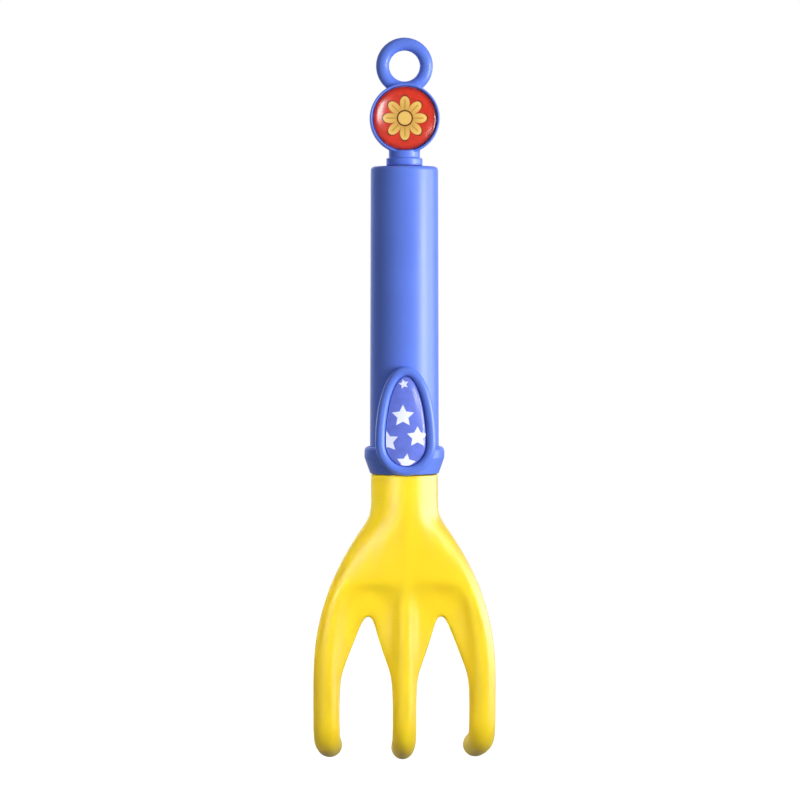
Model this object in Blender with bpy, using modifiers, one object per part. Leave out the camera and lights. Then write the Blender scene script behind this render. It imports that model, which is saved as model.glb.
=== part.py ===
"""A child's hand cultivator: a plastic grip with a hanging cap, a badge collar and a three-tine head.

Metres, +Z up. The tool hangs by its ring: the origin is the middle of the ring's hole, the grip
runs down -Z, the two badges face -Y and the tine tips hook back to +Y.
"""

import math

import bmesh
import bpy
from mathutils import Vector
from mathutils.geometry import interpolate_bezier

MM = 0.001

# Gap left between two pieces that touch
CLEARANCE = 0.3 * MM

# Hanging ring
RING_HOLE_DIAMETER = 10.4 * MM
RING_BAR_DIAMETER = 4.45 * MM
RING_SINK = 3.65 * MM

# Round medallion under the ring, with its raised rim and the pocket for its print and dome
MEDALLION_DIAMETER = 23.6 * MM
MEDALLION_RIM_WIDTH = 0.8 * MM
MEDALLION_FRONT = 4.4 * MM
MEDALLION_BACK = 3.2 * MM
MEDALLION_BACK_ROUND = 1.2 * MM
MEDALLION_POCKET_DEPTH = 1.8 * MM
MEDALLION_DOME_RISE = 1.5 * MM

# Two-step neck between the medallion and the grip
NECK_DIAMETER = 10.6 * MM
NECK_RING_DIAMETER = 12.3 * MM
NECK_RING_HEIGHT = 2.5 * MM
NECK_LENGTH = 4.1 * MM
NECK_ROUND = 0.5 * MM
NECK_SINK = 1.1 * MM

# Square stem under the neck, split into two springy legs with a barb on each
STEM_SIDE = 8.0 * MM
STEM_SPLIT = 2.0 * MM
BARB_REACH = 0.9 * MM
BARB_HEIGHT = 3.2 * MM

# Grip tube
GRIP_LENGTH = 99.2 * MM
GRIP_DIAMETER = 22.9 * MM
GRIP_DRAFT = 0.25 * MM
GRIP_WALL = 2.1 * MM
GRIP_TOP_WALL = 2.4 * MM
GRIP_TOP_ROUND = 1.4 * MM

# Collar with its finger guard, slid over the grip's lower end
SOCKET_DEPTH = 4.3 * MM
COLLAR_HEIGHT = 9.2 * MM
GUARD_REACH = 1.9 * MM
GUARD_BAND = 2.2 * MM
GUARD_ROUND = 1.5 * MM
COLLAR_FOOT_STEP = 0.2 * MM

# Egg-shaped badge frame on the front of the collar, narrow end up
BADGE_LENGTH = 36.8 * MM
BADGE_WIDTH = 20.4 * MM
BADGE_SHOULDER_DROP = 25.7 * MM
BADGE_TOP_FULLNESS = 8.2 * MM
BADGE_SIDE_FULLNESS = 9.0 * MM
BADGE_OVERHANG = 0.2 * MM
BADGE_RIM_WIDTH = 3.3 * MM
BADGE_RISE = 3.2 * MM
BADGE_POCKET_DEPTH = 1.9 * MM
BADGE_DOME_RISE = 1.1 * MM
RIM_LAP = 0.12 * MM

# Printed inserts and the clear domes over them
PRINT_THICKNESS = 0.6 * MM
DOME_EDGE = 0.4 * MM
DOME_SHOULDER = 1.7 * MM

# Screw behind the badge, through the grip's wall into the head's tang
SCREW_DIAMETER = 3.0 * MM
SCREW_LENGTH = 9.0 * MM
SCREW_HEAD_DIAMETER = 5.6 * MM
SCREW_HEAD_HEIGHT = 1.2 * MM
SCREW_CROSS_WIDTH = 0.8 * MM
SCREW_CROSS_LENGTH = 3.2 * MM
SCREW_CROSS_DEPTH = 0.7 * MM
SCREW_TIP_LENGTH = 2.0 * MM

# Tang inside the grip
TANG_LENGTH = 38.0 * MM
TANG_RIB = 3.2 * MM
TANG_BOSS_DIAMETER = 7.5 * MM
TANG_LEAD = 1.5 * MM
TANG_ROOT = 3.0 * MM

# Head: round neck, palm, webs and tines
HEAD_NECK_STEP = 0.05 * MM
HEAD_NECK_LENGTH = 14.0 * MM
FLARE_LENGTH = 56.0 * MM
PALM_LENGTH = 34.5 * MM
PALM_HOLLOW = 6.5 * MM
PALM_VALLEY = 0.2 * MM
ARCH_DROP = 22.9 * MM
ARCH_STEP = 2.0 * MM
ARCH_ROUND = 1.2 * MM
WEB_LENGTH = 22.0 * MM
WEB_THICKNESS = 3.6 * MM
WEB_SETBACK = 0.7 * MM
WEB_FILLET = 0.4 * MM
CROTCH_GAP = 2.2 * MM
TINE_DIAMETER = 9.0 * MM
MIDDLE_TINE_WIDTH = 8.1 * MM
TINE_SPACING = 26.6 * MM
TINE_LENGTH = 35.6 * MM
MIDDLE_TINE_EXTRA = 0.9 * MM
TINE_SETBACK = -2.6 * MM
TINE_LEAN = math.radians(3.0)
HOOK_RADIUS = 8.5 * MM
HOOK_ANGLE = math.radians(76.0)
HOOK_LENGTH = 13.0 * MM
HOOK_TOE_IN = math.radians(4.0)
TIP_LENGTH = 3.4 * MM

# How finely round shapes are cut
TURN_STEPS = 48
SMALL_STEPS = 20
QUARTER_STEPS = 8
FLARE_POWER = 2.2
DEPTH_POWER = 1.5
TINE_COUNT = 3
SHOULDER_ANGLE = 33
FOOT_ANGLE = 62
EDGE_ANGLE = 90
BACK_EDGE_ANGLE = 120
FRONT_ANGLES = (-EDGE_ANGLE, -FOOT_ANGLE, -SHOULDER_ANGLE, 0, SHOULDER_ANGLE, FOOT_ANGLE, EDGE_ANGLE)
BACK_ANGLES = (-BACK_EDGE_ANGLE, -150, 180, 150, BACK_EDGE_ANGLE)
PALM_STEPS = 5
WEB_STEPS = 4
HOOK_STEPS = 4
TIP_SHARES = ((0.0, 1.0), (0.6, 0.88), (1.0, 0.5))
SMOOTHED_SHARE = 0.96
CREASE_LAYER = "crease_edge"

# Sizes and heights that follow from the ones above
RING_RADIUS = (RING_HOLE_DIAMETER + RING_BAR_DIAMETER) / 2
RING_OUTER_RADIUS = RING_HOLE_DIAMETER / 2 + RING_BAR_DIAMETER
MEDALLION_RADIUS = MEDALLION_DIAMETER / 2
MEDALLION_POCKET_RADIUS = MEDALLION_RADIUS - MEDALLION_RIM_WIDTH
MEDALLION_Z = -(RING_OUTER_RADIUS + MEDALLION_RADIUS - RING_SINK)
NECK_BOTTOM_Z = MEDALLION_Z - MEDALLION_RADIUS - NECK_LENGTH
GRIP_TOP_Z = NECK_BOTTOM_Z - CLEARANCE
GRIP_BOTTOM_Z = GRIP_TOP_Z - GRIP_LENGTH
GRIP_RADIUS = GRIP_DIAMETER / 2
GRIP_LOW_RADIUS = GRIP_RADIUS + GRIP_DRAFT
BORE_RADIUS = GRIP_RADIUS - GRIP_WALL
SOCKET_Z = GRIP_BOTTOM_Z - CLEARANCE
COLLAR_TOP_Z = GRIP_BOTTOM_Z + SOCKET_DEPTH
COLLAR_BOTTOM_Z = COLLAR_TOP_Z - COLLAR_HEIGHT
COLLAR_FOOT_RADIUS = GRIP_RADIUS + COLLAR_FOOT_STEP
BADGE_BOTTOM_Z = COLLAR_BOTTOM_Z - BADGE_OVERHANG
BADGE_TOP_Z = BADGE_BOTTOM_Z + BADGE_LENGTH
BADGE_WIDEST_Z = BADGE_TOP_Z - BADGE_SHOULDER_DROP
BADGE_FACE = GRIP_LOW_RADIUS + BADGE_RISE
BADGE_FLOOR = BADGE_FACE - BADGE_POCKET_DEPTH
SCREW_Z = BADGE_WIDEST_Z
SCREW_SEAT = GRIP_LOW_RADIUS + CLEARANCE
TANG_RADIUS = BORE_RADIUS - CLEARANCE
HEAD_TOP_Z = COLLAR_BOTTOM_Z - CLEARANCE
HEAD_NECK_RADIUS = GRIP_RADIUS - HEAD_NECK_STEP
NECK_FOOT_Z = HEAD_TOP_Z - HEAD_NECK_LENGTH
CROTCH_Z = NECK_FOOT_Z - PALM_LENGTH

PARTS_NAME = "kids_hand_cultivator"
HELPERS_NAME = "cutters"
FACING_FRONT = (math.pi / 2, 0.0, 0.0)


def clear_scene():
    for old in list(bpy.data.objects):
        bpy.data.objects.remove(old, do_unlink=True)


def new_collection(name):
    made = bpy.data.collections.new(name)
    bpy.context.scene.collection.children.link(made)
    return made


def plastic(name, colour, roughness, metallic=0.0, alpha=1.0):
    made = bpy.data.materials.new(name)
    made.use_nodes = True
    shader = made.node_tree.nodes["Principled BSDF"]
    shader.inputs["Base Color"].default_value = (*colour, 1.0)
    shader.inputs["Roughness"].default_value = roughness
    shader.inputs["Metallic"].default_value = metallic
    shader.inputs["Alpha"].default_value = alpha
    made.diffuse_color = (*colour, alpha)
    return made


def add_object(name, data, helper):
    """A new object for a mesh or curve. A helper is only cut or joined, and never shows."""
    made = bpy.data.objects.new(name, data)
    bpy.data.collections[HELPERS_NAME if helper else PARTS_NAME].objects.link(made)
    if helper:
        made.hide_render = True
        made.display_type = "WIRE"
    return made


def take_primitive(name, helper):
    """Gives the primitive that was just added its name and collection."""
    added = bpy.context.object
    mesh = added.data
    place = added.matrix_world.copy()
    bpy.data.objects.remove(added, do_unlink=True)
    made = add_object(name, mesh, helper)
    made.matrix_world = place
    return made


def turned(name, profile, helper, steps=TURN_STEPS):
    """A solid of revolution from (radius, height) points that run down its outer side."""
    mesh = bpy.data.meshes.new(name)
    shape = bmesh.new()
    points = [shape.verts.new((radius, 0.0, height)) for radius, height in profile]
    for upper, lower in zip(points, points[1:]):
        shape.edges.new((upper, lower))
    shape.to_mesh(mesh)
    shape.free()
    made = add_object(name, mesh, helper)
    screw = made.modifiers.new("Turn", "SCREW")
    screw.steps = steps
    screw.render_steps = steps
    screw.use_merge_vertices = True
    screw.merge_threshold = 0.01 * MM
    return made


def face_front(made, z, y=0.0):
    """Turns an object's own +Z towards the front of the tool and sets its place."""
    made.rotation_euler = FACING_FRONT
    made.location = (0.0, y, z)
    bpy.context.view_layer.update()
    return made


def arc(centre, radius, start, end, steps):
    """Points along an arc, from one angle to another in degrees."""
    angles = [math.radians(start + (end - start) * k / steps) for k in range(steps + 1)]
    return [(centre[0] + radius * math.cos(a), centre[1] + radius * math.sin(a)) for a in angles]


def box(name, size, centre):
    bpy.ops.mesh.primitive_cube_add(size=1.0, location=centre)
    made = take_primitive(name, helper=True)
    made.scale = size
    bpy.context.view_layer.update()
    return made


def cylinder_up(name, radius, bottom, top):
    height = top - bottom
    bpy.ops.mesh.primitive_cylinder_add(
        vertices=TURN_STEPS, radius=radius, depth=height, location=(0.0, 0.0, bottom + height / 2)
    )
    return take_primitive(name, helper=True)


def cylinder_through(name, radius, front, back, z):
    """A round cutter along Y, between two distances in front of the grip's axis."""
    bpy.ops.mesh.primitive_cylinder_add(
        vertices=SMALL_STEPS,
        radius=radius,
        depth=front - back,
        location=(0.0, -(front + back) / 2, z),
        rotation=FACING_FRONT,
    )
    return take_primitive(name, helper=True)


def boolean(made, operation, other):
    modifier = made.modifiers.new(f"{operation.title()} {other.name}", "BOOLEAN")
    modifier.operation = operation
    modifier.object = other
    modifier.solver = "EXACT"


def meshed(curve_object, helper):
    """Makes a curve a mesh of the same name, with its caps welded."""
    name = curve_object.name
    graph = bpy.context.evaluated_depsgraph_get()
    mesh = bpy.data.meshes.new_from_object(curve_object.evaluated_get(graph))
    place = curve_object.matrix_world.copy()
    bpy.data.objects.remove(curve_object, do_unlink=True)
    shape = bmesh.new()
    shape.from_mesh(mesh)
    bmesh.ops.remove_doubles(shape, verts=shape.verts, dist=0.005 * MM)
    bmesh.ops.recalc_face_normals(shape, faces=shape.faces)
    shape.to_mesh(mesh)
    shape.free()
    made = add_object(name, mesh, helper)
    made.matrix_world = place
    return made


def outline_curve(name, outline, helper):
    """A closed curve through (x, z) points, standing upright and facing front."""
    curve = bpy.data.curves.new(name, "CURVE")
    curve.dimensions = "2D"
    spline = curve.splines.new("POLY")
    spline.points.add(len(outline) - 1)
    for point, (x, z) in zip(spline.points, outline):
        point.co = (x, z, 0.0, 1.0)
    spline.use_cyclic_u = True
    return face_front(add_object(name, curve, helper), 0.0)


def plate(name, outline, front, back, helper):
    """A flat plate of the outline, between two distances in front of the grip's axis."""
    made = outline_curve(name, outline, helper)
    made.data.fill_mode = "BOTH"
    made.data.extrude = (front - back) / 2
    made.location.y = -(front + back) / 2
    bpy.context.view_layer.update()
    return meshed(made, helper)


def bead(name, outline, radius, front):
    """A round bead along the outline, its middle at a distance in front of the grip's axis."""
    made = outline_curve(name, outline, helper=True)
    made.data.dimensions = "3D"
    made.data.fill_mode = "FULL"
    made.data.bevel_depth = radius
    made.data.bevel_resolution = 2
    made.location.y = -front
    bpy.context.view_layer.update()
    return meshed(made, helper=True)


def badge_outline(inset):
    """The badge's egg outline, drawn in all round by the inset."""
    half = BADGE_WIDTH / 2
    low_drop = BADGE_LENGTH - BADGE_SHOULDER_DROP
    circle = 4 / 3 * math.tan(math.pi / 8)
    top = Vector((0.0, BADGE_TOP_Z))
    side = Vector((half, BADGE_WIDEST_Z))
    bottom = Vector((0.0, BADGE_BOTTOM_Z))
    upper = interpolate_bezier(
        top,
        top + Vector((BADGE_TOP_FULLNESS, 0.0)),
        side + Vector((0.0, BADGE_SIDE_FULLNESS)),
        side,
        QUARTER_STEPS + 1,
    )
    lower = interpolate_bezier(
        side,
        side - Vector((0.0, circle * low_drop)),
        bottom + Vector((circle * half, 0.0)),
        bottom,
        QUARTER_STEPS + 1,
    )
    right = [Vector(point).to_2d() for point in upper[:-1] + lower]
    left = [Vector((-point.x, point.y)) for point in reversed(right[1:-1])]
    ring = right + left
    drawn = []
    for before, point, after in zip(ring[-1:] + ring[:-1], ring, ring[1:] + ring[:1]):
        along = (after - before).normalized()
        inward = Vector((along.y, -along.x))
        drawn.append(tuple(point + inward * inset))
    return drawn


def lofted(name, rings, helper):
    """A closed solid through rings of points, with flat ends."""
    shape = bmesh.new()
    rows = [[shape.verts.new(point) for point in ring] for ring in rings]
    loops = []
    for row in rows:
        loops.append([shape.edges.new((a, b)) for a, b in zip(row, row[1:] + row[:1])])
    for upper, lower in zip(loops, loops[1:]):
        bmesh.ops.bridge_loops(shape, edges=upper + lower)
    shape.faces.new(rows[0])
    shape.faces.new(rows[-1])
    bmesh.ops.recalc_face_normals(shape, faces=shape.faces)
    mesh = bpy.data.meshes.new(name)
    shape.to_mesh(mesh)
    shape.free()
    return add_object(name, mesh, helper)


def settle(made, surface):
    """Keeps the result of the modifiers, shades it and gives it its material."""
    graph = bpy.context.evaluated_depsgraph_get()
    mesh = bpy.data.meshes.new_from_object(made.evaluated_get(graph))
    made.modifiers.clear()
    made.data = mesh
    mesh.name = made.name
    mesh.shade_smooth()
    mesh.set_sharp_from_angle(angle=math.radians(35.0))
    mesh.materials.clear()
    mesh.materials.append(surface)


def medallion_body():
    """The round case of the medallion: a half-round rim about a flat-floored pocket."""
    rim = MEDALLION_RIM_WIDTH / 2
    rim_middle = (MEDALLION_RADIUS - rim, MEDALLION_FRONT - rim)
    back_middle = (MEDALLION_RADIUS - MEDALLION_BACK_ROUND, -MEDALLION_BACK + MEDALLION_BACK_ROUND)
    floor = MEDALLION_FRONT - MEDALLION_POCKET_DEPTH
    profile = [(0.0, floor), (MEDALLION_POCKET_RADIUS, floor)]
    profile += arc(rim_middle, rim, 180, 0, 6)
    profile += arc(back_middle, MEDALLION_BACK_ROUND, 0, -90, 3)
    profile += [(0.0, -MEDALLION_BACK)]
    return face_front(turned("medallion_body", profile, helper=True), MEDALLION_Z)


def hanger_neck():
    """The two-step round neck under the medallion."""
    top = MEDALLION_Z - MEDALLION_RADIUS + NECK_SINK
    step = NECK_BOTTOM_Z + NECK_RING_HEIGHT
    ring_middle = NECK_RING_DIAMETER / 2 - NECK_ROUND
    profile = [(0.0, top), (NECK_DIAMETER / 2, top), (NECK_DIAMETER / 2, step)]
    profile += arc((ring_middle, step - NECK_ROUND), NECK_ROUND, 90, 0, 3)
    profile += arc((ring_middle, NECK_BOTTOM_Z + NECK_ROUND), NECK_ROUND, 0, -90, 3)
    profile += [(0.0, NECK_BOTTOM_Z)]
    return turned("hanger_neck", profile, helper=True, steps=32)


def hanger_stem():
    """The split square stem: it drops through the grip's top and its barbs catch below."""
    catch = GRIP_TOP_Z - GRIP_TOP_WALL - CLEARANCE
    bottom = catch - BARB_HEIGHT
    half = STEM_SIDE / 2
    outline = [
        (-half, NECK_BOTTOM_Z + NECK_RING_HEIGHT / 2),
        (half, NECK_BOTTOM_Z + NECK_RING_HEIGHT / 2),
        (half, catch),
        (half + BARB_REACH, catch),
        (half - BARB_REACH, bottom),
        (BARB_REACH - half, bottom),
        (-half - BARB_REACH, catch),
        (-half, catch),
    ]
    stem = plate("hanger_stem", outline, half, -half, helper=True)
    split_top = NECK_BOTTOM_Z - CLEARANCE
    split_bottom = bottom - CLEARANCE
    split = box(
        "stem_split",
        (STEM_SPLIT, STEM_SIDE + 2 * BARB_REACH, split_top - split_bottom),
        (0.0, 0.0, (split_top + split_bottom) / 2),
    )
    boolean(stem, "DIFFERENCE", split)
    return stem


def build_hanger_cap(surface):
    """Ring, medallion case, neck and stem in one moulding."""
    bpy.ops.mesh.primitive_torus_add(
        major_radius=RING_RADIUS,
        minor_radius=RING_BAR_DIAMETER / 2,
        major_segments=40,
        minor_segments=12,
        rotation=FACING_FRONT,
    )
    cap = take_primitive("hanger_cap", helper=False)
    inner = cylinder_through(
        "medallion_pocket",
        MEDALLION_POCKET_RADIUS - RIM_LAP,
        MEDALLION_FRONT + RING_BAR_DIAMETER,
        MEDALLION_FRONT - MEDALLION_POCKET_DEPTH,
        MEDALLION_Z,
    )
    boolean(cap, "UNION", medallion_body())
    boolean(cap, "UNION", hanger_neck())
    boolean(cap, "UNION", hanger_stem())
    boolean(cap, "DIFFERENCE", inner)
    settle(cap, surface)


def build_medallion_inserts(print_surface, dome_surface):
    """The printed disc in the medallion's pocket and the clear dome over it."""
    radius = MEDALLION_POCKET_RADIUS - RIM_LAP - CLEARANCE
    back = MEDALLION_FRONT - MEDALLION_POCKET_DEPTH + CLEARANCE
    front = back + PRINT_THICKNESS
    disc = turned("medallion_print", [(0.0, front), (radius, front), (radius, back), (0.0, back)], False)
    face_front(disc, MEDALLION_Z)
    settle(disc, print_surface)
    base = front + CLEARANCE
    edge = base + DOME_EDGE
    sphere = (radius**2 + MEDALLION_DOME_RISE**2) / (2 * MEDALLION_DOME_RISE)
    half_angle = math.degrees(math.asin(radius / sphere))
    crown_middle = (0.0, edge + MEDALLION_DOME_RISE - sphere)
    profile = arc(crown_middle, sphere, 90, 90 - half_angle, 8)
    profile[0] = (0.0, edge + MEDALLION_DOME_RISE)
    profile += [(radius, base), (0.0, base)]
    dome = face_front(turned("medallion_dome", profile, False), MEDALLION_Z)
    settle(dome, dome_surface)


def build_grip_tube(surface):
    """A slightly drafted tube, closed at the top but for the stem's square hole."""
    shoulder = (GRIP_RADIUS - GRIP_TOP_ROUND, GRIP_TOP_Z - GRIP_TOP_ROUND)
    ceiling = GRIP_TOP_Z - GRIP_TOP_WALL
    profile = [(0.0, GRIP_TOP_Z)]
    profile += arc(shoulder, GRIP_TOP_ROUND, 90, 0, 4)
    profile += [(GRIP_LOW_RADIUS, GRIP_BOTTOM_Z), (BORE_RADIUS, GRIP_BOTTOM_Z)]
    profile += [(BORE_RADIUS, ceiling), (0.0, ceiling)]
    tube = turned("grip_tube", profile, helper=False)
    hole_side = STEM_SIDE + 2 * CLEARANCE
    hole = box(
        "stem_hole",
        (hole_side, hole_side, 2 * GRIP_TOP_WALL),
        (0.0, 0.0, GRIP_TOP_Z - GRIP_TOP_WALL / 2),
    )
    boolean(tube, "DIFFERENCE", hole)
    screw_hole = cylinder_through(
        "grip_screw_hole", SCREW_DIAMETER / 2 + CLEARANCE, GRIP_DIAMETER, BORE_RADIUS / 2, SCREW_Z
    )
    boolean(tube, "DIFFERENCE", screw_hole)
    settle(tube, surface)


def collar_ring():
    """The turned part of the collar: a guard flange that tapers to the foot."""
    guard = GRIP_LOW_RADIUS + GUARD_REACH
    inner = GRIP_LOW_RADIUS + CLEARANCE
    profile = [(inner, COLLAR_TOP_Z)]
    profile += arc((guard - GUARD_ROUND, COLLAR_TOP_Z - GUARD_ROUND), GUARD_ROUND, 90, 0, 4)
    profile += [(guard, COLLAR_TOP_Z - GUARD_ROUND - GUARD_BAND), (COLLAR_FOOT_RADIUS, COLLAR_BOTTOM_Z)]
    profile += [(BORE_RADIUS, COLLAR_BOTTOM_Z), (BORE_RADIUS, SOCKET_Z), (inner, SOCKET_Z)]
    profile += [(inner, COLLAR_TOP_Z)]
    return turned("collar_frame", profile, helper=False)


def build_collar_frame(surface):
    """The collar and the egg-shaped badge frame that stands on its front, in one moulding."""
    collar = collar_ring()
    bead_radius = BADGE_RIM_WIDTH / 2
    bead_front = BADGE_FACE - bead_radius
    boss = plate("badge_boss", badge_outline(RIM_LAP), bead_front, GRIP_RADIUS / 3, helper=True)
    grip_room = cylinder_up("grip_room", GRIP_LOW_RADIUS + CLEARANCE, SOCKET_Z, GRIP_TOP_Z)
    bore_room = cylinder_up("bore_room", BORE_RADIUS, COLLAR_BOTTOM_Z - COLLAR_HEIGHT, SOCKET_Z + CLEARANCE)
    head_room = cylinder_up(
        "head_room", HEAD_NECK_RADIUS + CLEARANCE, COLLAR_BOTTOM_Z - COLLAR_HEIGHT, COLLAR_BOTTOM_Z
    )
    for room in (grip_room, bore_room, head_room):
        boolean(boss, "DIFFERENCE", room)
    rim = bead("badge_rim", badge_outline(bead_radius), bead_radius, bead_front)
    rim_room = cylinder_up("rim_room", GRIP_LOW_RADIUS + CLEARANCE + RIM_LAP, SOCKET_Z, GRIP_TOP_Z)
    boolean(rim, "DIFFERENCE", rim_room)
    pocket = plate(
        "badge_pocket", badge_outline(BADGE_RIM_WIDTH - RIM_LAP), 2 * BADGE_FACE, BADGE_FLOOR, helper=True
    )
    head_hole = cylinder_through(
        "screw_head_hole", SCREW_HEAD_DIAMETER / 2 + CLEARANCE, BADGE_FACE, BORE_RADIUS, SCREW_Z
    )
    boolean(collar, "UNION", boss)
    boolean(collar, "UNION", rim)
    boolean(collar, "DIFFERENCE", pocket)
    boolean(collar, "DIFFERENCE", head_hole)
    settle(collar, surface)


def build_badge_inserts(print_surface, dome_surface):
    """The printed plate in the badge's pocket and the clear dome over it."""
    edge_inset = BADGE_RIM_WIDTH - RIM_LAP + CLEARANCE
    print_back = BADGE_FLOOR + CLEARANCE
    print_front = print_back + PRINT_THICKNESS
    settle(plate("badge_print", badge_outline(edge_inset), print_front, print_back, False), print_surface)
    base = print_front + CLEARANCE
    levels = [(0.0, base), (0.0, base + DOME_EDGE)]
    for share in (0.35, 0.7, 1.0):
        rise = BADGE_DOME_RISE * math.sin(share * math.pi / 2)
        levels.append((DOME_SHOULDER * (1 - math.cos(share * math.pi / 2)), base + DOME_EDGE + rise))
    rings = []
    for inset, front in levels:
        rings.append([(x, -front, z) for x, z in badge_outline(edge_inset + inset)])
    settle(lofted("badge_dome", rings, False), dome_surface)


def build_tang_screw(surface):
    """A low-headed screw, with its cross recess."""
    shank = SCREW_DIAMETER / 2
    head = SCREW_HEAD_DIAMETER / 2
    tip = SCREW_SEAT - SCREW_LENGTH
    profile = [(0.0, SCREW_SEAT + SCREW_HEAD_HEIGHT)]
    profile += [(0.8 * head, SCREW_SEAT + SCREW_HEAD_HEIGHT), (head, SCREW_SEAT + SCREW_HEAD_HEIGHT / 2)]
    profile += [(head, SCREW_SEAT), (shank, SCREW_SEAT), (shank, tip + SCREW_TIP_LENGTH), (0.0, tip)]
    screw = face_front(turned("tang_screw", profile, False, steps=SMALL_STEPS), SCREW_Z)
    depth = 2 * SCREW_CROSS_DEPTH
    centre = (0.0, -(SCREW_SEAT + SCREW_HEAD_HEIGHT), SCREW_Z)
    boolean(screw, "DIFFERENCE", box("slot_across", (SCREW_CROSS_LENGTH, depth, SCREW_CROSS_WIDTH), centre))
    boolean(screw, "DIFFERENCE", box("slot_upright", (SCREW_CROSS_WIDTH, depth, SCREW_CROSS_LENGTH), centre))
    settle(screw, surface)


def eased(share, power):
    """Rises quickly from 0 and levels out at 1."""
    return 1 - (1 - min(max(share, 0.0), 1.0)) ** power


def between(first, second, share):
    return first + (second - first) * share


def stepped(share):
    """Goes from 0 to 1 with level ends."""
    share = min(max(share, 0.0), 1.0)
    return share * share * (3 - 2 * share)


def tine_radii(tine):
    """Half width and half depth of the cage whose smoothed section has the tine's size."""
    width = MIDDLE_TINE_WIDTH if tine == 1 else TINE_DIAMETER
    return width / 2 / SMOOTHED_SHARE, TINE_DIAMETER / 2 / SMOOTHED_SHARE


def around(tine, angle):
    """Where a cage point lies round a tine's axis: to the right, and to the back. Angle 0 is the front."""
    half_width, half_depth = tine_radii(tine)
    return half_width * math.sin(math.radians(angle)), -half_depth * math.cos(math.radians(angle))


def web_share(z):
    """1 above the crotch, falling to 0 where the arch between two tines ends."""
    return min(max(1 - (CROTCH_Z - z) / WEB_LENGTH, 0.0), 1.0)


def tine_axis_y(z):
    return TINE_SETBACK + (CROTCH_Z - z) * math.tan(TINE_LEAN)


def palm_front(angle, z, under_arch):
    """How far behind the tine's axis the front lies: flat along the palm, then as it is under the arch."""
    start = ARCH_DROP
    if abs(angle) == FOOT_ANGLE:
        start += ARCH_ROUND
    palm = PALM_VALLEY - TINE_DIAMETER / 2 / SMOOTHED_SHARE
    return between(palm, under_arch, stepped((NECK_FOOT_Z - z - start) / ARCH_STEP))


def tine_point(tine, angle, z):
    """x and y of one cage point of a tine's section, with the webs that join it to its neighbours."""
    x, y = around(tine, angle)
    side = 1 if angle > 0 else -1
    beside_web = 0 <= tine + side < TINE_COUNT
    if beside_web and abs(angle) == SHOULDER_ANGLE:
        y = palm_front(angle, z, y)
    if beside_web and FOOT_ANGLE <= abs(angle) <= BACK_EDGE_ANGLE:
        share = web_share(z)
        web_x = TINE_SPACING / 2 - CROTCH_GAP / 2
        web_y = WEB_SETBACK + WEB_THICKNESS / 2
        if abs(angle) == FOOT_ANGLE:
            web_x = tine_radii(tine)[0] + WEB_FILLET
        if abs(angle) <= EDGE_ANGLE:
            web_y = palm_front(angle, z, WEB_SETBACK - WEB_THICKNESS / 2)
        x = between(x, side * web_x, share)
        y = between(y, web_y, share)
    return (tine - 1) * TINE_SPACING + x, tine_axis_y(z) + y


def head_row(z, angles, outward):
    """One row of cage points across the head from left to right. Outward is -1 in front, 1 at the back."""
    drop = NECK_FOOT_Z - z
    wide = eased(drop / FLARE_LENGTH, FLARE_POWER)
    deep = eased(drop / PALM_LENGTH, DEPTH_POWER)
    hollow = 0.0
    if outward > 0:
        hollow = PALM_HOLLOW * math.sin(math.pi * min(max(drop / PALM_LENGTH, 0.0), 1.0)) ** 2
    columns = TINE_COUNT * len(angles)
    row = []
    for column in range(columns):
        tine, place = divmod(column, len(angles))
        turn = math.pi * (column + 0.5) / columns
        row_x, row_y = tine_point(tine, angles[place], z)
        x = between(-HEAD_NECK_RADIUS * math.cos(turn), row_x, wide)
        y = between(outward * HEAD_NECK_RADIUS * math.sin(turn), row_y, deep)
        row.append((x, y - hollow * math.sin(turn) ** 2, z))
    return row


def head_section(z):
    """Front and back rows of cage points at one height."""
    return head_row(z, FRONT_ANGLES, -1), head_row(z, BACK_ANGLES, 1)


def tine_ring(front, back, tine):
    """The points of one tine's section, going round it."""
    wide = len(FRONT_ANGLES)
    narrow = len(BACK_ANGLES)
    return front[tine * wide : (tine + 1) * wide] + back[tine * narrow : (tine + 1) * narrow][::-1]


def hook_rings(tine, bend_z):
    """Cage sections round the hook of a tine, to its rounded tip. The outer hooks turn in a little."""
    start_y = tine_axis_y(bend_z)
    places = []
    for step in range(1, HOOK_STEPS + 1):
        angle = between(TINE_LEAN, HOOK_ANGLE, step / HOOK_STEPS)
        y = start_y + HOOK_RADIUS * (math.cos(TINE_LEAN) - math.cos(angle))
        z = bend_z - HOOK_RADIUS * (math.sin(angle) - math.sin(TINE_LEAN))
        places.append((y, z, angle, 1.0))
    y, z, angle, _ = places[-1]
    for along, share in TIP_SHARES:
        length = HOOK_LENGTH + TIP_LENGTH * along
        places.append((y + length * math.sin(angle), z - length * math.cos(angle), angle, share))
    rings = []
    for y, z, angle, share in places:
        middle = (tine - 1) * (TINE_SPACING - (y - start_y) * math.tan(HOOK_TOE_IN))
        ring = []
        for turn in FRONT_ANGLES + BACK_ANGLES[::-1]:
            across, out = around(tine, turn)
            ring.append(
                (
                    middle + across * share,
                    y + out * share * math.cos(angle),
                    z + out * share * math.sin(angle),
                )
            )
        rings.append(ring)
    return rings


def tine_rings(tine):
    """All the sections of one tine below the crotch."""
    bend_z = CROTCH_Z - TINE_LENGTH
    if tine == 1:
        bend_z -= MIDDLE_TINE_EXTRA
    heights = [CROTCH_Z - WEB_LENGTH * step / WEB_STEPS for step in range(1, WEB_STEPS + 1)]
    heights.append(bend_z)
    return [tine_ring(*head_section(z), tine) for z in heights] + hook_rings(tine, bend_z)


def add_band(shape, upper, lower):
    """Quads between two rings of the same number of points."""
    for k in range(len(upper)):
        after = (k + 1) % len(upper)
        shape.faces.new((upper[k], lower[k], lower[after], upper[after]))


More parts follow.
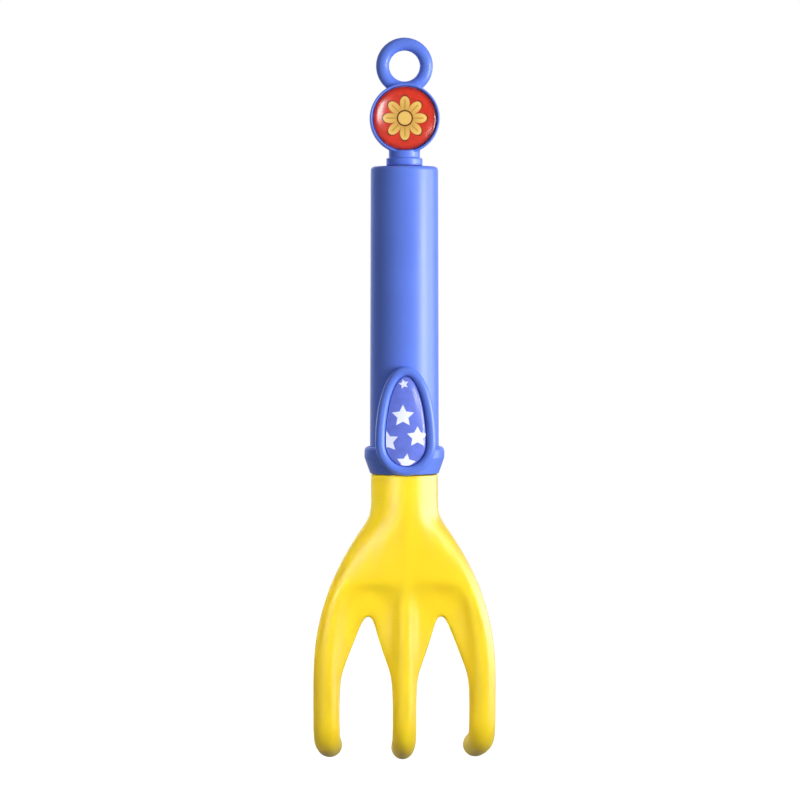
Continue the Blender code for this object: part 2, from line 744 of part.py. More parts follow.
def head_cage():
    """The coarse cage of the head: a loft from the round neck that parts into three tines."""
    shape = bmesh.new()
    heights = [HEAD_TOP_Z, between(HEAD_TOP_Z, NECK_FOOT_Z, 0.5), NECK_FOOT_Z]
    heights += [NECK_FOOT_Z - ARCH_DROP * step / PALM_STEPS for step in range(1, PALM_STEPS + 1)]
    arch_foot = ARCH_DROP + ARCH_STEP
    heights += [NECK_FOOT_Z - drop for drop in (arch_foot, (arch_foot + PALM_LENGTH) / 2, PALM_LENGTH)]
    rows = []
    for z in heights:
        front, back = head_section(z)
        rows.append([shape.verts.new(point) for point in front + back[::-1]])
    for upper, lower in zip(rows, rows[1:]):
        add_band(shape, upper, lower)
    top = shape.faces.new(rows[0])
    crease = shape.edges.layers.float.new(CREASE_LAYER)
    for edge in top.edges:
        edge[crease] = 1.0
    columns = TINE_COUNT * len(FRONT_ANGLES)
    front = rows[-1][:columns]
    back = rows[-1][columns:][::-1]
    for tine in range(TINE_COUNT):
        upper = tine_ring(front, back, tine)
        for ring in tine_rings(tine):
            lower = [shape.verts.new(point) for point in ring]
            add_band(shape, upper, lower)
            upper = lower
        shape.faces.new(upper)
    for tine in range(1, TINE_COUNT):
        right = tine * len(FRONT_ANGLES)
        behind = tine * len(BACK_ANGLES)
        shape.faces.new((front[right - 1], front[right], back[behind], back[behind - 1]))
    bmesh.ops.recalc_face_normals(shape, faces=shape.faces)
    mesh = bpy.data.meshes.new("tine_head")
    shape.to_mesh(mesh)
    shape.free()
    return add_object("tine_head", mesh, helper=False)


def head_tang():
    """A cross-ribbed tang with a round boss for the screw, all inside the grip's bore."""
    bottom = HEAD_TOP_Z - TANG_ROOT
    top = HEAD_TOP_Z + TANG_LENGTH
    profile = [(0.0, top), (TANG_RADIUS - TANG_LEAD, top), (TANG_RADIUS, top - TANG_LEAD)]
    profile += [(TANG_RADIUS, bottom), (0.0, bottom)]
    tang = turned("head_tang", profile, helper=True)
    size = (2 * GRIP_DIAMETER, TANG_RIB, 2 * TANG_LENGTH)
    centre = (0.0, 0.0, (top + bottom) / 2)
    ribs = box("rib_across", size, centre)
    boolean(ribs, "UNION", box("rib_fore_and_aft", (size[1], size[0], size[2]), centre))
    boss = cylinder_through("screw_boss", TANG_BOSS_DIAMETER / 2, GRIP_DIAMETER, -GRIP_DIAMETER, SCREW_Z)
    boolean(ribs, "UNION", boss)
    boolean(tang, "INTERSECT", ribs)
    pilot_end = SCREW_SEAT - SCREW_LENGTH - SCREW_TIP_LENGTH
    pilot = cylinder_through("screw_pilot", SCREW_DIAMETER / 2 + CLEARANCE, GRIP_DIAMETER, pilot_end, SCREW_Z)
    boolean(tang, "DIFFERENCE", pilot)
    return tang


def build_tine_head(surface):
    """The three-tine head with its tang, in one moulding."""
    head = head_cage()
    smooth = head.modifiers.new("Smooth", "SUBSURF")
    smooth.levels = 1
    smooth.render_levels = 1
    boolean(head, "UNION", head_tang())
    settle(head, surface)


def main():
    clear_scene()
    new_collection(PARTS_NAME)
    new_collection(HELPERS_NAME)
    blue = plastic("blue_plastic", (0.11, 0.20, 0.72), 0.38)
    yellow = plastic("yellow_plastic", (0.90, 0.67, 0.03), 0.42)
    red = plastic("red_print", (0.68, 0.03, 0.025), 0.35)
    violet = plastic("violet_print", (0.13, 0.17, 0.70), 0.35)
    clear = plastic("clear_resin", (0.95, 0.96, 0.97), 0.05, alpha=0.25)
    steel = plastic("zinc_plate", (0.62, 0.63, 0.64), 0.35, metallic=1.0)
    build_hanger_cap(blue)
    build_medallion_inserts(red, clear)
    build_grip_tube(blue)
    build_collar_frame(blue)
    build_badge_inserts(violet, clear)
    build_tang_screw(steel)
    build_tine_head(yellow)


main()
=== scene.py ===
"""Looks of a child's hand cultivator: a blue moulded grip that hangs by its ring, and a yellow claw head.

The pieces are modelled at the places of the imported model, in metres, with the tool hanging by its
ring: the grip runs down -Z, the medallion and the badge face -Y, and the tine tips hook back to +Y.
"""

import math

import bmesh
import bpy
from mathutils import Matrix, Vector


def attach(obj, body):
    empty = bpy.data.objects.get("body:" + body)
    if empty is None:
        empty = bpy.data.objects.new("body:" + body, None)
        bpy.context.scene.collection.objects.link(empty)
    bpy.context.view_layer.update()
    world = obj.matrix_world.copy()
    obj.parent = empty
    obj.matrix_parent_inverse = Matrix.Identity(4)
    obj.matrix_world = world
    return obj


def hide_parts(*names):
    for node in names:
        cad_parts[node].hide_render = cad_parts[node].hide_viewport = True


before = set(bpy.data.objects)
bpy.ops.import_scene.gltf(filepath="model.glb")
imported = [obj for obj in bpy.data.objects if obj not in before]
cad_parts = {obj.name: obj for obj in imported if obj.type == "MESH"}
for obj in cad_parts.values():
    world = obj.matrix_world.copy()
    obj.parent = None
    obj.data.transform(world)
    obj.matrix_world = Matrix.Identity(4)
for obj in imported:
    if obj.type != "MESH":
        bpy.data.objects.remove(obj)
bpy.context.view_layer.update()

MM = 0.001

# Used all over the tool
CLEARANCE = 0.3 * MM
WELD_DISTANCE = 0.004 * MM
NEAR = 0.01 * MM
CUT_OVERLAP = 0.2 * MM
PRINT_EDGE = 0.08 * MM
SMOOTHING_PASSES = 3

# Hanging ring
RING_RADIUS = 7.425 * MM
RING_BAR_RADIUS = 2.225 * MM

# Medallion: its case, the printed disc in the pocket and the clear dome on top
MEDALLION_Z = -17.8 * MM
MEDALLION_RADIUS = 11.8 * MM
MEDALLION_RIM = 0.4 * MM
MEDALLION_FRONT = 4.4 * MM
MEDALLION_BACK = 3.2 * MM
MEDALLION_BACK_ROUND = 1.2 * MM
MEDALLION_POCKET = 10.88 * MM
MEDALLION_FLOOR = 2.6 * MM
MEDALLION_INSERT = 10.58 * MM
MEDALLION_PRINT = (2.9 * MM, 3.5 * MM)
MEDALLION_DOME = (3.47 * MM, 4.2 * MM)
MEDALLION_RISE = 1.5 * MM

# Poured domes: flat in the middle, and round at the edge
CROWN_FLATNESS = 3
CROWN_EDGE_POWER = 0.7
MEDALLION_DOME_STEPS = 24
BADGE_DOME_STEPS = 17
DOME_SHARP_ANGLE = 60.0

# Two-step neck and split stem of the hanger cap
NECK_TOP_Z = -28.5 * MM
NECK_STEP_Z = -31.2 * MM
NECK_BOTTOM_Z = -33.7 * MM
NECK_RADIUS = 5.3 * MM
NECK_RING_RADIUS = 6.15 * MM
STEM_HALF = 4.0 * MM
STEM_CATCH_Z = -36.7 * MM
STEM_BOTTOM_Z = -39.9 * MM
STEM_SPLIT = 2.0 * MM
BARB_REACH = 0.9 * MM
BARB_SLOPE = 1.6 * BARB_REACH
CAP_VOXEL = 0.19 * MM

# Grip sleeve
GRIP_TOP_Z = -34.0 * MM
GRIP_BOTTOM_Z = -133.2 * MM
GRIP_RADIUS = 11.45 * MM
GRIP_LOW_RADIUS = 11.7 * MM
GRIP_TOP_ROUND = 1.4 * MM
GRIP_FOOT_EDGE = 0.3 * MM
GRIP_CEILING_Z = -36.4 * MM
BORE_RADIUS = 9.35 * MM

# Collar round the grip's foot
COLLAR_TOP_Z = -128.9 * MM
COLLAR_BOTTOM_Z = -138.1 * MM
COLLAR_INNER = 12.0 * MM
COLLAR_FOOT = 11.65 * MM
SOCKET_Z = -133.5 * MM
GUARD_RADIUS = 13.6 * MM
GUARD_ROUND = 1.5 * MM
GUARD_LOW_Z = -132.6 * MM
COLLAR_VOXEL = 0.206 * MM

# Egg-shaped badge on the collar
BADGE_TOP_Z = -101.5 * MM
BADGE_WIDEST_Z = -127.2 * MM
BADGE_BOTTOM_Z = -138.3 * MM
BADGE_HALF = 10.2 * MM
BADGE_TOP_FULLNESS = 8.2 * MM
BADGE_SIDE_FULLNESS = 9.0 * MM
BADGE_FACE = 14.9 * MM
BADGE_FLOOR = 13.0 * MM
BADGE_ROOT = 3.8 * MM
BADGE_RIM = 3.18 * MM
BADGE_POCKET = BADGE_RIM + 0.05 * MM
BADGE_BEAD = 1.55 * MM
BADGE_INSERT = 3.48 * MM
BADGE_PRINT = (13.3 * MM, 13.9 * MM)
BADGE_DOME = (13.87 * MM, 14.1 * MM)
BADGE_RISE = 1.5 * MM
BADGE_CROWN_Z = BADGE_WIDEST_Z + 4.0 * MM

# Screw behind the badge
SCREW_Z = BADGE_WIDEST_Z
SCREW_HEAD_ROOM = 3.1 * MM
SCREW_SHANK_ROOM = 1.8 * MM

# Three-tine head: subdividing shrinks a drawn section to SUBDIVIDED_SHARE of its size
SUBDIVIDED_SHARE = 0.96
HEAD_TOP_Z = -138.4 * MM
HEAD_NECK_RADIUS = 11.4 * MM
HEAD_EDGE = 0.3 * MM
HEAD_SHARP_ANGLE = 50.0
NECK_FOOT_Z = -152.4 * MM
PALM_LENGTH = 34.5 * MM
CROTCH_Z = NECK_FOOT_Z - PALM_LENGTH
FLARE_LENGTH = 56.0 * MM
FLARE_POWER = 2.2
DEPTH_POWER = 1.5
PALM_HOLLOW = 6.5 * MM
PALM_VALLEY = 0.2 * MM
ARCH_DROP = 22.9 * MM
ARCH_STEP = 2.0 * MM
ARCH_ROUND = 1.2 * MM
WEB_LENGTH = 22.0 * MM
WEB_THICKNESS = 3.6 * MM
WEB_SETBACK = 0.7 * MM
WEB_FILLET = 0.4 * MM
CROTCH_GAP = 2.2 * MM
TINE_SPACING = 26.6 * MM
TINE_LENGTH = 35.6 * MM
MIDDLE_TINE_EXTRA = 0.9 * MM
TINE_SETBACK = -2.6 * MM
TINE_LEAN = math.radians(3.0)
TINE_HALF_DEPTH = 4.5 * MM / SUBDIVIDED_SHARE
TINE_HALF_WIDTHS = tuple(half * MM / SUBDIVIDED_SHARE for half in (4.5, 4.05, 4.5))
HOOK_RADIUS = 8.5 * MM
HOOK_ANGLE = math.radians(76.0)
HOOK_LENGTH = 13.0 * MM
HOOK_TOE_IN = math.radians(4.0)
HOOK_STEPS = 4
WEB_STEPS = 4
TIP_LENGTH = 3.4 * MM
TIP_SHARES = ((0.0, 1.0), (0.6, 0.88), (1.0, 0.5))
SHOULDER_ANGLE = 33
FOOT_ANGLE = 62
FRONT_ANGLES = (-90, -FOOT_ANGLE, -SHOULDER_ANGLE, 0, SHOULDER_ANGLE, FOOT_ANGLE, 90)
BACK_ANGLES = (-120, -150, 180, 150, 120)
TANG_TOP_Z = -100.4 * MM
TANG_RADIUS = 9.05 * MM
TANG_RIB = 3.2 * MM
TANG_BOSS = 3.75 * MM
TANG_BOSS_REACH = 0.9 * TANG_RADIUS
TANG_ROOT = 3.0 * MM
TANG_EDGE = 0.4 * MM

UPRIGHT = (0.0, 0.0, 1.0)
FORE_AND_AFT = (0.0, 1.0, 0.0)
FACING_FRONT = (math.pi / 2, 0.0, 0.0)
MIDDLE = (0.0, 0.0, 0.0)

# Colours, as linear light
GRIP_BLUE = (0.140, 0.258, 0.96)
CLAW_YELLOW = (0.82, 0.60, 0.007)
DISC_RED = (0.53, 0.032, 0.015)
# Painted shade for the disc's edge, where the pocket wall and the dome's edge shade the print
PAINTED_EDGE_SHADE_RED = (0.26, 0.010, 0.011)
DAISY_GOLD = (0.42, 0.22, 0.030)
DAISY_PALE_GOLD = (0.74, 0.50, 0.13)
DAISY_BROWN = (0.09, 0.022, 0.006)
BADGE_VIOLET = (0.135, 0.185, 0.61)
STAR_WHITE = (0.86, 0.88, 0.93)

# Daisy on the medallion, from its middle outwards
HEART_RADIUS = 2.25 * MM
HEART_LINE_RADIUS = 2.75 * MM
PETAL_RIB_RADIUS = 6.2 * MM
PETAL_RADIUS = 7.3 * MM
PETAL_LINE = 0.45 * MM
# Painted shade: a darker band round the disc's edge, where the pocket wall and the dome's edge shade it
EDGE_SHADE_RADIUS = 9.0 * MM
EDGE_SHADE_WIDTH = 1.3 * MM

# Stars on the badge: middle across, middle height, reach and tilt in degrees
STARS = (
    (-1.0 * MM, -118.1 * MM, 3.5 * MM, 0.0),
    (3.8 * MM, -125.1 * MM, 3.3 * MM, 0.0),
    (-6.1 * MM, -126.6 * MM, 3.5 * MM, 7.0),
    (0.0 * MM, -133.8 * MM, 3.0 * MM, -8.0),
    (-0.7 * MM, -107.4 * MM, 1.4 * MM, 12.0),
)

# Camera and studio: lengths in metres, and the camera's sensor in millimetres
CAMERA_DISTANCE = 1.1
CAMERA_AZIMUTH = math.radians(-2.0)
CAMERA_ELEVATION = math.radians(2.0)
CAMERA_TARGET = Vector((-1.5 * MM, 0.0, -113.2 * MM))
PICTURE_HEIGHT = 0.272
SENSOR_WIDTH = 36.0
FLOOR_Z = -0.30
FLOOR_SIZE = 8.0
FLOOR_MIRRORED = 0.1
ROOM_DIM = 0.08
ROOM_LIGHT = 0.30

# What the lamps are turned to: the whole tool, or the one piece that a lamp is kept to
LAMP_AIMS = {
    "tool": (0.0, 0.0, -0.12),
    "claw": (0.0, 0.0, -0.15),
    "medallion": (0.0, -MEDALLION_FRONT, MEDALLION_Z),
    "badge": (0.0, -BADGE_FACE, BADGE_WIDEST_Z + 6.0 * MM),
}

# Lamps: name, what they do, what they are turned to, place, width and height, watts, spread in degrees
LAMPS = (
    ("right_softbox", "lights", "tool", (0.724, -0.607, -0.16), (0.6, 0.62), 12.9, 180.0),
    ("back_softbox", "lights", "tool", (-0.475, 0.82, 0.0), (0.7, 0.7), 6.7, 180.0),
    ("front_card", "shines", "tool", (0.865, -0.36, -0.16), (0.42, 0.62), 8.8, 180.0),
    ("claw_fill", "lights", "claw", (-0.38, -0.52, -0.02), (0.16, 0.16), 0.062, 17.0),
    ("claw_left_shine", "shines", "claw", (-0.40, -0.66, -0.30), (0.4, 0.4), 1.6, 180.0),
    ("claw_right_shine", "shines", "claw", (0.85, 0.30, -0.19), (0.9, 0.5), 6.4, 180.0),
    ("right_card", "shines", "tool", (0.93, 0.16, -0.12), (0.35, 0.7), 3.4, 180.0),
    ("medallion_left_shine", "shines", "medallion", (-0.42, -0.80, 0.16), (0.22, 0.36), 5.8, 180.0),
    ("medallion_right_shine", "shines", "medallion", (0.54, -0.72, -0.27), (0.26, 0.30), 1.3, 180.0),
    ("badge_shine", "shines", "badge", (0.50, -0.66, 0.06), (0.30, 0.16), 2.0, 180.0),
)


# Modelling by hand


def deselect_everything():
    bpy.ops.object.select_all(action="DESELECT")


def open_primitive(name):
    """Names the primitive that was just added and opens it for shaping."""
    piece = bpy.context.object
    piece.name = name
    piece.data.name = name
    bpy.ops.object.mode_set(mode="EDIT")
    bpy.ops.mesh.select_mode(type="VERT")
    return piece


def close_piece():
    """Welds the open piece, turns its faces outwards and goes back to object mode."""
    bpy.ops.mesh.select_all(action="SELECT")
    bpy.ops.mesh.remove_doubles(threshold=WELD_DISTANCE)
    bpy.ops.mesh.normals_make_consistent(inside=False)
    bpy.ops.mesh.select_all(action="DESELECT")
    bpy.ops.object.mode_set(mode="OBJECT")
    piece = bpy.context.object
    bpy.ops.object.transform_apply(location=True, rotation=True, scale=True)
    return piece


def pick(piece, wanted):
    """Selects the vertices of the open piece for which wanted is true, with the edges between them."""
    bpy.ops.mesh.select_mode(type="VERT")
    bpy.ops.mesh.select_all(action="DESELECT")
    form = bmesh.from_edit_mesh(piece.data)
    for vert in form.verts:
        vert.select = wanted(vert)
    form.select_flush(True)
    bmesh.update_edit_mesh(piece.data)


def make_active(piece):
    deselect_everything()
    piece.select_set(True)
    bpy.context.view_layer.objects.active = piece


def add_modifier(piece, kind, **settings):
    """Adds one modifier, sets it and applies it."""
    make_active(piece)
    bpy.ops.object.modifier_add(type=kind)
    modifier = piece.modifiers[-1]
    for name, value in settings.items():
        setattr(modifier, name, value)
    bpy.ops.object.modifier_apply(modifier=modifier.name)


def combine(piece, operation, other):
    """Adds another solid to the piece, or cuts it out, and clears the other away."""
    add_modifier(piece, "BOOLEAN", operation=operation, object=other, solver="EXACT")
    bpy.data.objects.remove(other, do_unlink=True)


def arc(centre, radius, start, end, steps):
    """Points along an arc, from one angle to another in degrees."""
    angles = [math.radians(start + (end - start) * k / steps) for k in range(steps + 1)]
    return [(centre[0] + radius * math.cos(a), centre[1] + radius * math.sin(a)) for a in angles]


def turn_piece(name, points, centre, axis, steps):
    """Turns a piece on a lathe: one vertex is drawn along the profile and spun right round."""
    deselect_everything()
    bpy.ops.mesh.primitive_plane_add(size=MM, location=MIDDLE)
    open_primitive(name)
    bpy.ops.mesh.merge(type="CENTER")
    here = Vector(MIDDLE)
    for number, point in enumerate(points):
        if number == 0:
            bpy.ops.transform.translate(value=point)
        else:
            bpy.ops.mesh.extrude_vertices_move(TRANSFORM_OT_translate={"value": point - here})
        here = point
    bpy.ops.mesh.select_all(action="SELECT")
    bpy.ops.mesh.spin(steps=steps, angle=2 * math.pi, center=centre, axis=axis)
    return close_piece()


def turn_upright(name, profile, steps=96):
    """A lathe piece round the grip's axis, from (radius, height) points."""
    points = [Vector((radius, 0.0, height)) for radius, height in profile]
    return turn_piece(name, points, MIDDLE, UPRIGHT, steps)


def turn_facing(name, profile, steps=96):
    """A lathe piece round the medallion's axis, from (radius, distance in front) points."""
    points = [Vector((radius, -front, MEDALLION_Z)) for radius, front in profile]
    return turn_piece(name, points, (0.0, 0.0, MEDALLION_Z), FORE_AND_AFT, steps)


def rod(name, radius, front, back, z):
    """A round bar along Y, between two distances in front of the grip's axis."""
    deselect_everything()
    bpy.ops.mesh.primitive_cylinder_add(
        vertices=64,
        radius=radius,
        depth=front - back,
        location=(0.0, -(front + back) / 2, z),
        rotation=FACING_FRONT,
    )
    open_primitive(name)
    return close_piece()


def core(name, radius, bottom, top):
    """A round bar along the grip's axis."""
    deselect_everything()
    bpy.ops.mesh.primitive_cylinder_add(
        vertices=96, radius=radius, depth=top - bottom, location=(0.0, 0.0, (top + bottom) / 2)
    )
    open_primitive(name)
    return close_piece()


def block(name, low, high):
    """A square bar between two corners."""
    deselect_everything()
    low = Vector(low)
    high = Vector(high)
    bpy.ops.mesh.primitive_cube_add(size=1.0, location=(low + high) / 2)
    open_primitive(name)
    bpy.ops.transform.resize(value=high - low, center_override=(low + high) / 2)
    return close_piece()


def draw_faces(distance):
    """Draws the selected faces of the open piece out along Y."""
    bpy.ops.mesh.extrude_region_move(TRANSFORM_OT_translate={"value": (0.0, distance, 0.0)})


def draw_edges(distance):
    """Draws the selected edges of the open piece out along Y."""
    bpy.ops.mesh.extrude_edges_move(TRANSFORM_OT_translate={"value": (0.0, distance, 0.0)})


def soften(piece, voxel):
    """Runs the joined shapes into one moulding, with small fillets where they meet."""
    add_modifier(piece, "REMESH", mode="VOXEL", voxel_size=voxel, use_smooth_shade=True)
    add_modifier(piece, "SMOOTH", factor=0.5, iterations=SMOOTHING_PASSES)


def finish_piece(piece, node, surface, sharp_angle=35.0):
    """Shades the piece, gives it its material, hangs it on the root body and hides the node it stands for.
    """
    make_active(piece)
    bpy.ops.object.shade_smooth_by_angle(angle=math.radians(sharp_angle))
    piece.data.materials.clear()
    piece.data.materials.append(surface)
    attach(piece, "root")
    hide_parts(node)


# Hanger cap


def hanger_stem():
    """The split stem that drops into the grip, with a barb on each leg."""
    stem = block(
        "hanger_stem",
        (-STEM_HALF, -STEM_HALF, STEM_BOTTOM_Z),
        (STEM_HALF, STEM_HALF, NECK_STEP_Z),
    )
    bpy.ops.object.mode_set(mode="EDIT")
    for side in (-1, 1):
        pick(stem, lambda vert: vert.co.x * side > 0 and vert.co.z < GRIP_TOP_Z)
        bpy.ops.transform.translate(value=(-side * BARB_REACH, 0.0, 0.0))
    bpy.ops.object.mode_set(mode="OBJECT")
    for side in (-1, 1):
        barb = block(
            "stem_barb",
            (side * STEM_HALF - BARB_REACH, -STEM_HALF, STEM_BOTTOM_Z + BARB_REACH),
            (side * STEM_HALF + BARB_REACH, STEM_HALF, STEM_CATCH_Z),
        )
        bpy.ops.object.mode_set(mode="EDIT")
        low = STEM_CATCH_Z - BARB_REACH
        pick(barb, lambda vert: vert.co.z < low and vert.co.x * side > STEM_HALF)
        bpy.ops.transform.translate(value=(-side * BARB_SLOPE, 0.0, 0.0))
        bpy.ops.object.mode_set(mode="OBJECT")
        combine(stem, "UNION", barb)
    split = block(
        "stem_split",
        (-STEM_SPLIT / 2, -2 * STEM_HALF, 2 * STEM_BOTTOM_Z),
        (STEM_SPLIT / 2, 2 * STEM_HALF, GRIP_TOP_Z),
    )
    combine(stem, "DIFFERENCE", split)
    return stem


def model_hanger_cap(surface):
    """Ring, medallion case, two-step neck and stem, run into one moulding."""
    deselect_everything()
    bpy.ops.mesh.primitive_torus_add(
        major_radius=RING_RADIUS,
        minor_radius=RING_BAR_RADIUS,
        major_segments=96,
        minor_segments=32,
        location=MIDDLE,
        rotation=FACING_FRONT,
    )
    cap = open_primitive("hanger_cap_moulding")
    close_piece()
    rim_middle = (MEDALLION_RADIUS - MEDALLION_RIM, MEDALLION_FRONT - MEDALLION_RIM)
    back_middle = (MEDALLION_RADIUS - MEDALLION_BACK_ROUND, MEDALLION_BACK_ROUND - MEDALLION_BACK)
    profile = [(0.0, MEDALLION_FLOOR), (MEDALLION_RADIUS - 2 * MEDALLION_RIM, MEDALLION_FLOOR)]
    profile += arc(rim_middle, MEDALLION_RIM, 180, 0, 10)
    profile += arc(back_middle, MEDALLION_BACK_ROUND, 0, -90, 6)
    profile += [(0.0, -MEDALLION_BACK)]
    combine(cap, "UNION", turn_facing("medallion_case", profile))
    neck = [(0.0, NECK_TOP_Z), (NECK_RADIUS, NECK_TOP_Z), (NECK_RADIUS, NECK_STEP_Z)]
    neck += [(NECK_RING_RADIUS, NECK_STEP_Z), (NECK_RING_RADIUS, NECK_BOTTOM_Z), (0.0, NECK_BOTTOM_Z)]
    combine(cap, "UNION", turn_upright("hanger_neck", neck))
    combine(cap, "UNION", hanger_stem())
    pocket = rod("medallion_pocket", MEDALLION_POCKET, 3 * MEDALLION_FRONT, MEDALLION_FLOOR, MEDALLION_Z)
    combine(cap, "DIFFERENCE", pocket)
    soften(cap, CAP_VOXEL)
    finish_piece(cap, "hanger_cap", surface)


def model_medallion_print(surface):
    """The printed disc, its edge just broken."""
    back, front = MEDALLION_PRINT
    profile = [(0.0, front), (MEDALLION_INSERT - PRINT_EDGE, front)]
    profile += [(MEDALLION_INSERT, front - PRINT_EDGE)]
    profile += [(MEDALLION_INSERT, back), (0.0, back)]
    disc = turn_facing("medallion_print_disc", profile)
    finish_piece(disc, "medallion_print", surface)


def crowned(share, rise):
    """Height of a poured dome above its edge, at a share of the way out from its middle."""
    return rise * (1 - share**CROWN_FLATNESS) ** CROWN_EDGE_POWER


def model_medallion_dome(surface):
    """The clear dome poured on the printed disc."""
    base, edge = MEDALLION_DOME
    profile = []
    for step in range(MEDALLION_DOME_STEPS + 1):
        share = math.sin(step / MEDALLION_DOME_STEPS * math.pi / 2)
        profile.append((MEDALLION_INSERT * share, edge + crowned(share, MEDALLION_RISE)))
    profile += [(MEDALLION_INSERT, base), (0.0, base)]
    dome = turn_facing("medallion_clear_dome", profile)
    finish_piece(dome, "medallion_dome", surface, DOME_SHARP_ANGLE)
    return dome


# Grip and collar


def model_grip_sleeve(surface):
    """The drafted tube, with a rounded top, the stem's square hole and the screw's hole."""
    shoulder = (GRIP_RADIUS - GRIP_TOP_ROUND, GRIP_TOP_Z - GRIP_TOP_ROUND)
    profile = [(0.0, GRIP_TOP_Z)]
    profile += arc(shoulder, GRIP_TOP_ROUND, 90, 0, 8)
    profile += [(GRIP_LOW_RADIUS, GRIP_BOTTOM_Z + GRIP_FOOT_EDGE)]
    profile += [(GRIP_LOW_RADIUS - GRIP_FOOT_EDGE, GRIP_BOTTOM_Z)]
    profile += [(BORE_RADIUS, GRIP_BOTTOM_Z), (BORE_RADIUS, GRIP_CEILING_Z), (0.0, GRIP_CEILING_Z)]
    sleeve = turn_upright("grip_sleeve", profile, 128)
    room = STEM_HALF + CLEARANCE
    hole = block("stem_hole", (-room, -room, 2 * GRIP_CEILING_Z - GRIP_TOP_Z), (room, room, 0.0))
    combine(sleeve, "DIFFERENCE", hole)
    screw_hole = rod("screw_hole", SCREW_SHANK_ROOM, 2 * BORE_RADIUS, BORE_RADIUS / 2, SCREW_Z)
    combine(sleeve, "DIFFERENCE", screw_hole)
    add_modifier(sleeve, "WELD", merge_threshold=WELD_DISTANCE)
    finish_piece(sleeve, "grip_tube", surface)


def draw_egg(name, front):
    """The badge's egg outline as a loop of edges, drawn with a four-point curve."""
    deselect_everything()
    bpy.ops.curve.primitive_bezier_circle_add(radius=MM, location=MIDDLE)
    outline = bpy.context.object
    outline.name = name
    outline.data.dimensions = "3D"
    outline.data.resolution_u = 18
    round_share = 4 / 3 * math.tan(math.pi / 8)
    low_fullness = round_share * (BADGE_WIDEST_Z - BADGE_BOTTOM_Z)
    bottom_fullness = round_share * BADGE_HALF
    stations = (
        ((0.0, BADGE_TOP_Z), (-BADGE_TOP_FULLNESS, BADGE_TOP_Z), (BADGE_TOP_FULLNESS, BADGE_TOP_Z)),
        (
            (BADGE_HALF, BADGE_WIDEST_Z),
            (BADGE_HALF, BADGE_WIDEST_Z + BADGE_SIDE_FULLNESS),
            (BADGE_HALF, BADGE_WIDEST_Z - low_fullness),
        ),
        ((0.0, BADGE_BOTTOM_Z), (bottom_fullness, BADGE_BOTTOM_Z), (-bottom_fullness, BADGE_BOTTOM_Z)),
        (
            (-BADGE_HALF, BADGE_WIDEST_Z),
            (-BADGE_HALF, BADGE_WIDEST_Z - low_fullness),
            (-BADGE_HALF, BADGE_WIDEST_Z + BADGE_SIDE_FULLNESS),
        ),
    )
    for point, (place, before, after) in zip(outline.data.splines[0].bezier_points, stations):
        point.handle_left_type = "FREE"
        point.handle_right_type = "FREE"
        point.co = (place[0], -front, place[1])
        point.handle_left = (before[0], -front, before[1])
        point.handle_right = (after[0], -front, after[1])
    bpy.ops.object.convert(target="MESH")
    egg = open_primitive(name)
    bpy.ops.mesh.select_all(action="SELECT")
    return egg


def draw_insert(name, front, inset):
    """The egg drawn in all round by the inset, as one open face."""
    egg = draw_egg(name, front)
    bpy.ops.mesh.edge_face_add()
    bpy.ops.mesh.inset(thickness=inset, depth=0.0)
    bpy.ops.mesh.select_all(action="INVERT")
    bpy.ops.mesh.delete(type="VERT")
    bpy.ops.mesh.select_all(action="SELECT")
    return egg


def badge_frame():
    """The egg-shaped frame: a half-round rim about a flat pocket, on a boss that reaches the grip."""
    egg = draw_egg("badge_frame", BADGE_FACE)
    bpy.ops.mesh.edge_face_add()
    draw_faces(BADGE_FACE - BADGE_ROOT)
    bpy.ops.mesh.select_all(action="SELECT")
    bpy.ops.mesh.normals_make_consistent(inside=False)

    def at_face(vert):
        return vert.co.y < NEAR - BADGE_FACE

    pick(egg, at_face)
    bpy.ops.mesh.inset(thickness=BADGE_RIM, depth=0.0)
    draw_faces(BADGE_FACE - BADGE_FLOOR)
    pick(egg, at_face)
    bpy.ops.mesh.select_mode(type="EDGE")
    form = bmesh.from_edit_mesh(egg.data)
    for edge in form.edges:
        edge.select = all(at_face(vert) for vert in edge.verts) and any(
            abs(face.normal.y) < 0.5 for face in edge.link_faces
        )
    bmesh.update_edit_mesh(egg.data)
    bpy.ops.mesh.bevel(offset=BADGE_BEAD, segments=6, profile=0.5, affect="EDGES", clamp_overlap=True)
    return close_piece()


def model_collar(surface):
    """The collar with its finger guard and the badge's frame, run into one moulding."""
    profile = [(COLLAR_INNER, COLLAR_TOP_Z)]
    profile += arc((GUARD_RADIUS - GUARD_ROUND, COLLAR_TOP_Z - GUARD_ROUND), GUARD_ROUND, 90, 0, 6)
    profile += [(GUARD_RADIUS, GUARD_LOW_Z), (COLLAR_FOOT, COLLAR_BOTTOM_Z), (BORE_RADIUS, COLLAR_BOTTOM_Z)]
    profile += [(BORE_RADIUS, SOCKET_Z), (COLLAR_INNER, SOCKET_Z), (COLLAR_INNER, COLLAR_TOP_Z)]
    collar = turn_upright("collar_and_frame", profile, 128)
    boss = badge_frame()
    combine(boss, "DIFFERENCE", core("grip_room", COLLAR_INNER, SOCKET_Z, GRIP_TOP_Z))
    combine(boss, "DIFFERENCE", core("bore_room", BORE_RADIUS, 2 * SOCKET_Z, SOCKET_Z + CUT_OVERLAP))
    head_room = core("head_room", HEAD_NECK_RADIUS + CLEARANCE, 2 * SOCKET_Z, COLLAR_BOTTOM_Z)
    combine(boss, "DIFFERENCE", head_room)
    combine(collar, "UNION", boss)
    draw_insert("badge_pocket", 2 * BADGE_FACE, BADGE_POCKET)
    draw_faces(2 * BADGE_FACE - BADGE_FLOOR)
    combine(collar, "DIFFERENCE", close_piece())
    screw_head_hole = rod("screw_head_hole", SCREW_HEAD_ROOM, 2 * BADGE_FACE, BORE_RADIUS, SCREW_Z)
    combine(collar, "DIFFERENCE", screw_head_hole)
    soften(collar, COLLAR_VOXEL)
    finish_piece(collar, "collar_frame", surface)


